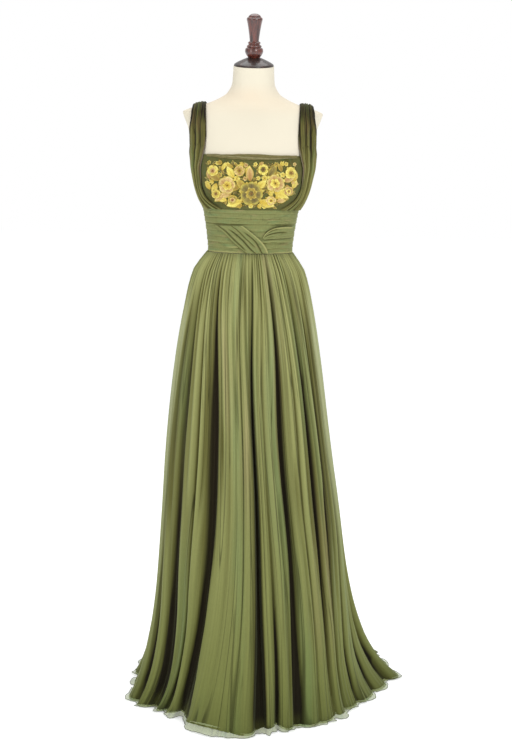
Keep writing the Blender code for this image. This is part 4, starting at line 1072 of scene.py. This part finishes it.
# a padded patch from its root along its slant, and the line of its outline for a cord
def sewPatch(store, thread, onFront, root, slant, length, width, lift, height, grid, cut, tone):
    widest, blunt, vein = embroideryPiece["cuts"][cut]
    t = np.linspace(0.02, 0.98, grid[0])[:, None]
    s = np.linspace(-1, 1, grid[1])[None, :]
    half = 0.5 * width * np.sin(math.pi * t**widest) ** blunt
    along, across = length * t + 0.0 * s, half * s
    angle = math.radians(slant)
    x = root[0] + along * math.cos(angle) - across * math.sin(angle)
    z = root[1] + along * math.sin(angle) + across * math.cos(angle)
    crown = np.sqrt(np.maximum(0, 1 - s * s)) * np.sin(math.pi * t) ** 0.3
    sunk = vein * np.exp(-(s / 0.16) ** 2) * smoothstep(1, 0.6, t)
    ground = embroideryPiece["ground"] + lift
    rim = smoothstep(0.62, 0.96, np.maximum(np.abs(s), 1.25 * t - 0.27)) * np.ones(x.shape)
    store.setdefault(thread, []).append({
        "points": onFront(x, z, ground + height * crown * (1 - sunk)),
        "uv": np.stack([along + 0.7 * np.abs(across), across], -1),
        "tone": np.clip(tone + 0.9 * (t - 0.6) - 0.35 * np.exp(-(s / 0.2) ** 2) + 0.0 * x, 0, 1), "rim": rim,
    })
    outline = (np.concatenate([side[:, 0], side[::-1, -1], side[:1, 0]]) for side in (x, z))
    return onFront(*outline, ground + embroideryPiece["cordLift"])


def joinPatches(name, patches, finish):  # one mesh of all the patches in a thread
    faces, start = [], 0
    for patch in patches:
        rows, columns = patch["points"].shape[:2]
        faces.append(gridFaces(rows, columns) + start)
        start += rows * columns
    joined = {key: np.concatenate([patch[key].reshape(-1, *patch[key].shape[2:]) for patch in patches])
              for key in patches[0]}
    piece = meshPiece(name, joined["points"], np.concatenate(faces), finish, joined["uv"],
                      {"tone": joined["tone"], "rim": joined["rim"]})
    piece.data.flip_normals()
    return thicken(piece, embroideryPiece["backing"])


def sewBlossom(store, outlines, hearts, onFront, row, rings, draw):  # rings of petals round a few beads
    give = embroideryPiece
    for ring, thread in enumerate(rings):
        cut = "petal" if ring else "leaf"
        share = give["ringShrink"] ** (ring - 1) if ring else give["behind"]
        radius, petals = row["radius"] * share, int(row["petals"])
        height = row["height"] * (1 if ring == 1 else give["innerHeight"])
        for k in range(petals):
            slant = row["turn"] + 360 * (k + 0.5 * ring) / petals + draw.uniform(-6, 6)
            out = radius * draw.uniform(0.90, 1.05)
            root = (row["x"] + give["petalRoot"] * out * math.cos(math.radians(slant)),
                    row["z"] + give["petalRoot"] * out * math.sin(math.radians(slant)))
            wide = give["petalWide"][cut] * out * math.sin(math.pi / petals)
            lift = give["petalLift"] + give["ringRise"] * ring * 0.8 + give["petalLap"] * (k % 2)
            line = sewPatch(store, thread, onFront, root, slant, give["petalLong"] * out, wide, lift, height,
                            give["petalGrid"], cut, draw.uniform(0.25, 0.95))
            if ring < 2 or row["radius"] > 0.02:
                outlines.append(line)
    inner = give["heart"] * row["radius"] * (0.8 if len(rings) > 3 else 1.2)
    turns = np.radians(np.arange(7) * 360 / 7 + row["turn"])
    top = give["ground"] + give["heartLift"] + give["ringRise"] * (len(rings) - 2)
    for reach, every, lift in give["heartSteps"]:
        x = row["x"] + reach * inner * np.cos(turns[::every])
        z = row["z"] + reach * inner * np.sin(turns[::every])
        hearts.append(onFront(x, z, top + lift))


def rowsOf(columns):  # a table's rows, each with its names
    return [dict(zip(columns, values)) for values in zip(*columns.values())]


def bend(row, axis, share):  # from the first place to the last, drawn towards the middle one
    first, middle, last = (row[axis + end] for end in "012")
    return (1 - share) ** 2 * first + 2 * share * (1 - share) * middle + share**2 * last


def fieldShare(z):  # the field narrows towards the bottom
    share, full = embroideryPiece["narrow"]
    return mix(share, 1.0, smoothstep(embroideryPiece["field"][1], full, z))


def sewUndergrowth(store, onFront, draw):  # small dark leaves that fill the ground under the rest
    give = embroideryPiece["undergrowth"]
    for k in range(give["count"]):
        z = draw.uniform(*embroideryPiece["field"][1:])
        x = draw.uniform(-1, 1) * give["spread"] * fieldShare(z)
        length = draw.uniform(*give["length"])
        slant = math.degrees(math.atan2(z - give["middle"], x)) + draw.uniform(-give["stray"], give["stray"])
        inward = 0.5 * length * np.array([math.cos(math.radians(slant)), math.sin(math.radians(slant))])
        sewPatch(store, give["threads"][k % 3], onFront, (x - inward[0], z - inward[1]), slant, length,
                 give["wide"] * length, give["lift"], give["height"], embroideryPiece["sprigGrid"], "leaf",
                 draw.uniform(0.0, 0.8))


def buildEmbroidery():  # from the ground up: leaves, blossoms, sprigs, buds, cords and beads
    give = embroideryPiece
    draw = np.random.default_rng(17)
    onFront = makeFrontMap()
    store, outlines, hearts = {}, [], []
    sewUndergrowth(store, onFront, draw)
    for row, thread in zip(rowsOf(give["leaves"]), give["leafThreads"].split()):
        outlines.append(sewPatch(store, thread, onFront, (row["x"], row["z"]), row["slant"], row["length"],
                                 row["width"], give["leafLift"], row["height"], give["leafGrid"], "leaf",
                                 draw.uniform(0.3, 0.9)))
    for row, rings in zip(rowsOf(give["blossoms"]), give["blossomThreads"]):
        sewBlossom(store, outlines, hearts, onFront, row, rings, draw)
    for row, thread in zip(rowsOf(give["sprigs"]), give["sprigThreads"].split()):
        for slant in row["turn"] + 360 / give["sprigPetals"] * np.arange(give["sprigPetals"]):
            sewPatch(store, thread, onFront, (row["x"], row["z"]), slant, row["radius"],
                     give["sprigWide"] * row["radius"], give["sprigLift"], give["sprigHeight"],
                     give["sprigGrid"], "petal", draw.uniform(0.4, 1.0))
        middle = np.array([row["x"]]), np.array([row["z"]])
        hearts.append(onFront(*middle, give["ground"] + give["sprigHeart"]))
    for row, thread in zip(rowsOf(give["buds"]), give["budThreads"].split()):
        for fan, share, lift in give["budFan"]:
            outlines.append(sewPatch(store, thread, onFront, (row["x"], row["z"]), row["slant"] + fan,
                                     share * row["length"], give["budWide"] * row["length"], lift,
                                     give["budHeight"], give["sprigGrid"], "leaf", draw.uniform(0.4, 1.0)))
    pieces = [joinPatches(name + "Patches", patches, threads[name]) for name, patches in store.items()]
    share = np.linspace(0, 1, 14)
    stems = [onFront(bend(row, "x", share), bend(row, "z", share), give["ground"] + give["cordLift"])
             for row in rowsOf(give["stems"])]
    pieces.append(buildCords("petalCords", outlines, give["cord"], threads["lemon"], 5))
    pieces.append(buildCords("stemCords", stems, give["stemCord"], threads["gold"], 6))
    half, low, high = give["field"]
    for name, (count, radius, seed) in give["beads"].items():
        x, z = draw.uniform(-half, half, count), draw.uniform(low, high, count)
        spots = onFront(x * fieldShare(z), z, give["ground"] + 0.6 * radius)
        if name == "copperBeads":
            spots = np.concatenate([spots] + hearts)
        values = {"Radius": radius, "Seed": seed, "Finish": beadFinishes[name]}
        pieces.append(runTree(name, beadTree, values, spots))
    for piece in pieces:
        dress(piece, "embroidery")
    return pieces


sideTurn, seamGap = 77.93, 0.14  # degrees: the edge of the front at the side seams, and the gap to the back
frontTurns = (-sideTurn, sideTurn)
backTurns = (sideTurn + seamGap, 360 - sideTurn - seamGap)


bodicePiece = {
    "bottom": 1.3128, "top": 1.450, "backTop": 1.405, "dipTurns": (58.0, 78), "gap": 0.0014, "cloth": 0.0015,
    "pucker": 0.00035, "columns": 180, "rows": 60, "thickness": 0.0011,
}


def buildBodice():  # two smooth panels, and the embroidery sewn on the front one
    give = bodicePiece
    share = np.linspace(0, 1, give["rows"])[:, None]
    for name, node, turns, slot, seed in (
        ("bodiceFront", "bodice_front", frontTurns, "embroidery", 31),
        ("bodiceBack", "bodice_back", backTurns, "chiffon_dark", 32),
    ):
        front = turns == frontTurns
        turn = np.linspace(*turns, give["columns"])[None, :]
        dip = smoothstep(*give["dipTurns"], np.abs(turn)) if front else 1.0
        z = mix(give["bottom"], mix(give["top"], give["backTop"], dip), share)
        soft = ripple(turn * 0.35 + z * 60, seed, 4) * ripple(turn * 0.12 - z * 90, seed + 1, 3)
        points = layRound(turn, z, give["gap"] + give["cloth"] - give["pucker"] * np.abs(soft))
        # painted shade where the cloth puckers
        marks = {"paintedShade": np.clip(0.22 * np.abs(soft), 0, 1), "edge": 0.0}
        piece = gridPiece(name, points, "groundChiffon", (turn / 40, z * 6), marks)
        sewnOn = buildEmbroidery() if front else ()
        finishCloth(piece, give, slot, node)


buildBodice()
print("bodice built")


necklinePiece = {
    "height": 0.015, "edgeTurn": 54.0, "endShare": 0.45, "rippleHigh": 0.0012, "rippleFine": 0.0004,
    "cloth": 0.0010, "clear": 0.0006, "roll": 0.0008, "waves": 0.0006, "columns": 150, "rows": 16,
    "thickness": 0.0007,
}


def buildNeckline():  # a soft strip that rolls along the front's top edge
    give = necklinePiece
    along = np.linspace(-1, 1, give["columns"])[None, :]
    share = np.linspace(0, 1, give["rows"])[:, None]
    deep = give["height"] * mix(give["endShare"], 1.0, np.cos(1.5 * along) ** 2)
    high = bodicePiece["top"] + give["rippleHigh"] * (1 + np.cos(4.7 * along))
    high = high + give["rippleFine"] * ripple(along * 16, 41, 3)
    under = bodicePiece["gap"] + bodicePiece["cloth"] + give["clear"]
    folds = ripple(share * 9 + along * 3, 42, 3)
    lift = under + give["cloth"] + give["roll"] * np.sin(math.pi * share) + give["waves"] * folds * share
    points = layRound(give["edgeTurn"] * along, mix(high - deep, high, share),
                      np.maximum(lift, under + give["clear"]))
    # painted shade where the strip folds in, and a paler top edge
    marks = {"paintedShade": np.clip(0.35 - 0.4 * folds, 0, 1), "edge": smoothstep(0.93, 1.0, share) * 0.6}
    piece = gridPiece("necklineStrip", points, "necklineChiffon", (along * 3, share), marks)
    finishCloth(piece, give, "binding", "neckline_binding")


buildNeckline()
print("neckline strip built")


strapPiece = {
    "stations": table(
        "z tip inner outer standOff",
        (1.3135, 0, 0.070, 0.1170, 0.006), (1.328, 0, 0.096, 0.1225, 0.009),
        (1.348, 0, 0.115, 0.1290, 0.012), (1.380, 0, 0.125, 0.1370, 0.015),
        (1.415, 0, 0.127, 0.1450, 0.015), (1.448, 0, 0.121, 0.1510, 0.012),
        (1.474, 0, 0.118, 0.1555, 0.009), (1.500, 0, 0.117, 0.1575, 0.007),
        (1.500, 30, 0.118, 0.1580, 0.006), (1.500, 60, 0.120, 0.1560, 0.005),
        (1.500, 90, 0.121, 0.1540, 0.004), (1.500, 120, 0.120, 0.1550, 0.004),
        (1.500, 150, 0.116, 0.1560, 0.003), (1.500, 180, 0.112, 0.1530, 0.002),
        (1.455, 180, 0.104, 0.1440, 0.002), (1.410, 180, 0.095, 0.1340, 0.002),
        (1.362, 180, 0.083, 0.1230, 0.002), (1.3135, 180, 0.070, 0.1130, 0.002),
    ),
    "pleats": table(
        "across height",
        (0.00, 0.0016), (0.10, 0.0048), (0.24, 0.0052), (0.35, 0.0022), (0.50, 0.0062),
        (0.65, 0.0020), (0.78, 0.0058), (0.92, 0.0050), (1.00, 0.0018),
    ),
    "shoulderSwell": 0.25, "overBodice": 0.0044, "overShoulder": 0.0026, "skin": 0.0011,
    "shoulderRound": 0.8,  # how far the three pleats even out into fine gathers on the shoulder
    "frontLeaves": (1.452, 1.475), "backLeaves": (1.412, 1.450),  # where it comes off the bodice
    "shadeFrom": (1.41, 1.50), "edgeLit": (1.36, 1.40), "edgeEnds": (1.50, 1.47),  # heights on the front
    "sway": 0.13, "fineFolds": 0.0010, "rows": 170, "columns": 70, "thickness": 0.0011, "fullness": 1.3,
}


def buildStrap(name, node, side, standOff, seed):  # pleated in front and behind, gathered on the shoulder
    give = strapPiece
    place = np.arange(len(give["stations"]["z"]), dtype=float)
    s = np.linspace(0, place[-1], give["rows"])
    at = readTable(give["stations"], place, s)
    tip = np.radians(at["tip"])
    raised = np.sin(tip)
    front = smoothstep(*give["frontLeaves"], at["z"])
    back = smoothstep(*give["backLeaves"], at["z"])
    onForm = np.where(at["tip"] < 90, front, back)
    low = mix(give["overBodice"], give["skin"], onForm)
    turned = mix(give["skin"], give["overShoulder"], np.minimum(1, 2 * raised))
    under = np.where((at["tip"] > 0.5) & (at["tip"] < 179.5), turned, low)[:, None]
    across = np.linspace(0, 1, give["columns"])[None, :]
    sway = give["sway"] * ripple(s * 0.75, seed, 3)[:, None] * across * (1 - across) * 4
    folded = np.clip(across + sway * (0.6 + 0.4 * np.cos(5 * across)), 0, 1)
    height = smoothCurve(give["pleats"]["across"], give["pleats"]["height"])(folded)
    deepest = give["pleats"]["height"].max()
    fine = ripple(folded * 30 + 0.4 * s[:, None], seed + 3, 4)
    evened = deepest * (0.80 + 0.10 * ripple(folded * 24, seed + 4, 3)) * np.sin(math.pi * across) ** 0.45
    height = mix(height, evened, give["shoulderRound"] * smoothstep(0.15, 0.9, raised)[:, None])
    lift = height * (1 + give["shoulderSwell"] * raised)[:, None]
    lift = lift + give["fineFolds"] * fine * height / deepest
    off = under + standOff * at["standOff"][:, None] * across**2
    x = side * mix(at["inner"][:, None], at["outer"][:, None], across)
    starts = np.stack(np.broadcast_arrays(x, 0.0 * x, at["z"][:, None]), -1)
    directions = np.stack([0 * tip, -np.cos(tip), np.sin(tip)], -1)[:, None, :]
    points = layOnForm(starts, directions, off + np.maximum(lift, give["thickness"] + 0.0003))
    # painted shade in the pleats' hollows, and towards the shoulder where the strap is gathered
    dark = 0.75 * (1 - height / deepest) + 0.30 * np.clip(-fine, 0, 1)
    shaded = np.where(at["tip"] < 1, smoothstep(*give["shadeFrom"], at["z"]), 1.0)[:, None]
    gathered = shaded * (0.22 + 0.26 * smoothstep(0.3, 0.9, raised)[:, None]) * (0.7 + 0.5 * np.abs(fine))
    lit = smoothstep(*give["edgeLit"], at["z"]) * smoothstep(*give["edgeEnds"], at["z"]) * (at["tip"] < 1)
    edge = smoothstep(0.08, 0.0, across) * 0.7 * lit[:, None]
    marks = {"paintedShade": np.clip(dark + gathered, 0, 1), "edge": edge}
    piece = gridPiece(name, points, "strapChiffon", (folded, s[:, None] / 3), marks, flip=side < 0)
    finishCloth(piece, give, "chiffon_dark", node)


buildStrap("strapLeft", "strap_left", -1, 0.5, 51)
buildStrap("strapRight", "strap_right", 1, 1.0, 61)
print("straps built")


midriffPiece = {
    "bottom": 1.1978, "top": 1.3125, "pleatHeight": 0.0011, "fineFolds": 0.0002, "lap": 0.88, "wobble": 0.14,
    "pleats": table(  # level from the top of the band, and how much painted shade its crease and painted highlight its edge get
        "level dark light",
        (0.00, 0.35, 0.15), (0.09, 0.32, 0.22), (0.20, 0.38, 0.15), (0.33, 0.75, 0.20), (0.49, 0.22, 0.12),
        (0.63, 0.30, 0.30), (0.76, 0.50, 0.90), (0.88, 0.42, 0.85), (1.00, 0.30, 0.45),
    ),
    "skin": 0.0011, "cloth": 0.0020, "columns": 90, "rows": 120, "thickness": 0.0012, "fullness": 1.35,
    "seamStrip": 2.2,  # degrees of turn where the side seam's own strip shows
}


def buildMidriff():  # pleats that lap downwards, in front and behind
    give, pleats = midriffPiece, midriffPiece["pleats"]
    count = len(pleats["level"])
    z = np.linspace(give["bottom"], give["top"], give["rows"])[:, None]
    level = (give["top"] - z) / (give["top"] - give["bottom"])
    window = smoothstep(0, 0.1, level) * smoothstep(1, 0.9, level)
    place = np.interp(level, pleats["level"], np.arange(count))
    for name, node, turns, seed in (
        ("midriffFront", "midriff_front", frontTurns, 71),
        ("midriffBack", "midriff_back", backTurns, 75),
    ):
        turn = np.linspace(*turns, give["columns"])[None, :]
        wander = ripple(turn * 0.045 + np.floor(place) * 1.9, seed, 4)
        phase = np.clip(place + give["wobble"] * wander * window, 0, count - 1.001)
        share = phase % 1.0
        rise = np.where(share < give["lap"], share / give["lap"], (1 - share) / (1 - give["lap"]))
        fine = give["fineFolds"] * ripple(level * 70 + turn * 0.05, seed + 1, 4)
        points = layRound(turn, z, give["skin"] + give["cloth"] + give["pleatHeight"] * rise + fine * window)
        which = phase.astype(int)
        # painted shade in each pleat's crease and painted highlight on its edge
        dark = smoothstep(0.20, 0.0, share) * pleats["dark"][which] * (1 + 0.4 * wander)
        light = smoothstep(0.60, 0.88, share) * pleats["light"][which] * np.clip(0.6 + 0.6 * wander, 0, 1)
        seam = smoothstep(give["seamStrip"], 0, np.minimum(turn - turns[0], turns[1] - turn))
        marks = {"paintedShade": np.clip(dark, 0, 1), "edge": np.clip(light + 0.4 * seam, 0, 1)}
        piece = gridPiece(name, points, "bandChiffon", (turn / 60, level), marks)
        finishCloth(piece, give, "chiffon", node)


buildMidriff()
print("midriff built")


drapePiece = {
    "left": table(
        "xLow zLow xHigh zHigh",
        (-0.091, 1.2700, -0.020, 1.2715), (-0.072, 1.2560, -0.001, 1.2570),
        (-0.056, 1.2400, 0.017, 1.2420), (-0.040, 1.2240, 0.032, 1.2270),
        (-0.024, 1.2095, 0.041, 1.2125), (-0.010, 1.1985, 0.046, 1.1985),
    ),
    "right": table(
        "xLow zLow xHigh zHigh",
        (0.103, 1.2385, 0.103, 1.2700), (0.088, 1.2375, 0.086, 1.2710),
        (0.072, 1.2370, 0.067, 1.2700), (0.056, 1.2365, 0.049, 1.2630),
        (0.044, 1.2360, 0.037, 1.2520), (0.036, 1.2355, 0.030, 1.2400),
    ),
    # creases along each drape: where across it they start and end, from and to which slip, how much painted
    # shade they get and how wide
    "leftCreases": table(
        "start end from to dark half",
        (0.16, 0.12, -0.5, 4.6, 0.85, 0.030), (0.36, 0.42, 0.4, 5.5, 0.95, 0.035),
        (0.60, 0.58, -0.5, 4.0, 0.70, 0.028), (0.80, 0.74, 0.8, 5.5, 0.90, 0.030),
        (0.01, 0.01, -0.5, 5.5, 0.60, 0.025),
    ),
    "rightCreases": table(
        "start end from to dark half",
        (0.46, 0.62, 0.6, 4.8, 0.85, 0.055), (0.74, 0.84, 1.6, 3.8, 0.60, 0.040),
        (0.02, 0.02, -0.5, 5.5, 0.90, 0.040), (0.99, 0.99, -0.5, 5.5, 1.00, 0.045),
        (0.22, 0.30, 2.2, 4.4, 0.45, 0.040),
    ),
    "leftRim": (0.965, 0.03), "rightRim": (0.90, 0.05),  # where across it catches the light, and spread
    "foldHeight": 0.0022, "fineFolds": 0.00018, "cloth": 0.0012, "clear": 0.0006, "columns": 60,
    "rows": 90, "thickness": 0.0010, "fullness": 1.3,
}


def buildDrape(name, node, side, seed):  # a layer across the band, with creases pressed along it
    give, slips, creases = drapePiece, drapePiece[side], drapePiece[side + "Creases"]
    place = np.arange(len(slips["xLow"]), dtype=float)
    s = np.linspace(0, place[-1], give["rows"])[:, None]
    at = readTable(slips, place, s)
    across = np.linspace(0, 1, give["columns"])[None, :]
    pressed = np.zeros((give["rows"], give["columns"]))
    for start, end, low, high, dark, half in zip(*creases.values()):
        middle = mix(start, end, s / place[-1]) + 0.02 * ripple(s * 1.3 + 9 * start, seed, 3)
        shown = smoothstep(low, low + 0.8, s) * smoothstep(high, high - 0.8, s) * dark
        pressed = np.maximum(pressed, shown * np.exp(-(((across - middle) / half) ** 2)))
    wave = 1 - pressed
    fine = ripple(across * 30 + s * 0.3, seed + 1, 4)
    under = midriffPiece["skin"] + midriffPiece["cloth"] + midriffPiece["pleatHeight"] + give["clear"]
    lift = under + give["cloth"] + give["foldHeight"] * wave**0.7 + give["fineFolds"] * fine
    points = layAhead(mix(at["xLow"], at["xHigh"], across), mix(at["zLow"], at["zHigh"], across), lift)
    rim, spread = give[side + "Rim"]
    # painted highlight along the rim and on the fine folds' crests; the creases get painted shade
    edge = 0.75 * np.exp(-(((across - rim) / spread) ** 2)) * wave + 0.15 * np.clip(fine, 0, 1) * wave
    inwards = np.cross(points[0, 1] - points[0, 0], points[1, 0] - points[0, 0])[1] > 0
    marks = {"paintedShade": pressed, "edge": np.clip(edge, 0, 1)}
    piece = gridPiece(name, points, "bandChiffon", (s / 2, across), marks, flip=inwards)
    finishCloth(piece, give, "chiffon", node)


buildDrape("drapeLeft", "drape_left", "left", 81)
buildDrape("drapeRight", "drape_right", "right", 85)
print("drapes built")


handlePiece = {
    "neckTop": (0, -0.008, 1.678), "tip": 9.0, "seat": 0.0003, "capHeight": 0.0205, "sides": 72, "perStep": 5,
    "cap": table(
        "radius height",
        (0.0, 0.0), (0.0505, 0.0), (0.0515, 0.0015), (0.0510, 0.0035), (0.0440, 0.0085),
        (0.0340, 0.0135), (0.0240, 0.0180), (0.0165, 0.0205), (0.0, 0.0205),
    ),
    "finial": table(
        "radius height",
        (0.0, 0.0), (0.0150, 0.0), (0.0160, 0.0020), (0.0205, 0.0075), (0.0235, 0.0165),
        (0.0222, 0.0235), (0.0180, 0.0265), (0.0195, 0.0290), (0.0170, 0.0320), (0.0145, 0.0345),
        (0.0165, 0.0375), (0.0150, 0.0400), (0.0118, 0.0430), (0.0140, 0.0620), (0.0180, 0.0860),
        (0.0205, 0.0975), (0.0195, 0.1010), (0.0170, 0.1025), (0.0150, 0.1060), (0.0070, 0.1110),
        (0.0, 0.1120),
    ),
}


def makeWood(name, look):  # long pores and darker bands under a clear lacquer
    finish, tree = newFinish(name, {
        "Roughness": look["roughness"], "Coat Weight": look["coat"], "Coat Roughness": 0.07,
    })
    centred = addNode(tree, "ShaderNodeMapping", {
        0: addSpot(tree), "Location": (0, 0, -handlePiece["neckTop"][2]),
        "Rotation": (math.radians(-handlePiece["tip"]), 0, 0),
    })
    long = addVector(tree, "MULTIPLY", centred.outputs[0], look["grain"])
    grain = addNoise(tree, long, scale=1.0, detail=5.0, Roughness=0.62, Distortion=0.6)
    share = addRange(tree, grain, 0.33, 0.68, smooth=True)
    paint(tree, addMix(tree, share, look["dark"], look["light"]), addBump(tree, grain, 0.08, 0.0002))
    return finish


woodLooks = {
    "mahogany": {"dark": (0.030, 0.006, 0.004), "light": (0.150, 0.030, 0.016), "grain": (160.0, 160.0, 14.0),
                 "roughness": 0.30, "coat": 0.9},
    "capWood": {"dark": (0.009, 0.004, 0.003), "light": (0.038, 0.012, 0.008), "grain": (60.0, 14.0, 60.0),
                "roughness": 0.38, "coat": 0.45},
}
woods = {name: makeWood(name, look) for name, look in woodLooks.items()}


def buildTurned(name, node, profile, height, wood, slot):  # a profile turned round the neck's axis
    give = handlePiece
    place = np.arange(len(profile["radius"]), dtype=float)
    s = np.linspace(0, place[-1], int(place[-1]) * give["perStep"] + 1)[1:-1]
    at = readTable(profile, place, s)
    turn = np.linspace(0, 360, give["sides"], endpoint=False)
    rings = polar(turn[None, :], at["radius"][:, None], at["height"][:, None])
    ends = [[[0, 0, profile["height"][k]]] for k in (0, -1)]
    points = np.concatenate([ends[0], rings.reshape(-1, 3), ends[1]])
    faces = [list(quad + 1) for quad in gridFaces(len(s), give["sides"], closed=True)]
    top = 1 + (len(s) - 1) * give["sides"]
    for k in range(give["sides"]):
        after = (k + 1) % give["sides"]
        faces.append([0, 1 + after, 1 + k])
        faces.append([top + k, top + after, len(points) - 1])
    piece = meshPiece(name, points, faces, woods[wood])
    piece.data.transform(
        Matrix.Translation(give["neckTop"]) @ Matrix.Rotation(math.radians(give["tip"]), 4, "X")
        @ Matrix.Translation((0, 0, height))
    )
    piece.data.set_sharp_from_angle(angle=math.radians(62))
    dress(piece, slot, node)


buildTurned("neckCap", "neck_cap", handlePiece["cap"], handlePiece["seat"], "capWood", "cap_wood")
buildTurned("finialHandle", "finial", handlePiece["finial"],
            2 * handlePiece["seat"] + handlePiece["capHeight"], "mahogany", "mahogany")
print("cap and finial built")


def makeSteel():  # brushed along the pole
    finish, tree = newFinish("brushedSteel", {"Metallic": 1.0, "Base Color": (0.55, 0.55, 0.55, 1)})
    long = addVector(tree, "MULTIPLY", addSpot(tree), (700.0, 700.0, 8.0))
    rough = addRange(tree, addNoise(tree, long, scale=1.0, detail=3.0), 0.0, 1.0, 0.24, 0.44)
    tree.links.new(rough, tree.nodes["Principled BSDF"].inputs["Roughness"])
    return finish


def finishStand():
    for node, finish in (("stand_pole", makeSteel()), ("stand_base", woods["capWood"])):
        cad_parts[node].data.materials.clear()
        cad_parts[node].data.materials.append(finish)


finishStand()
print("stand finished")
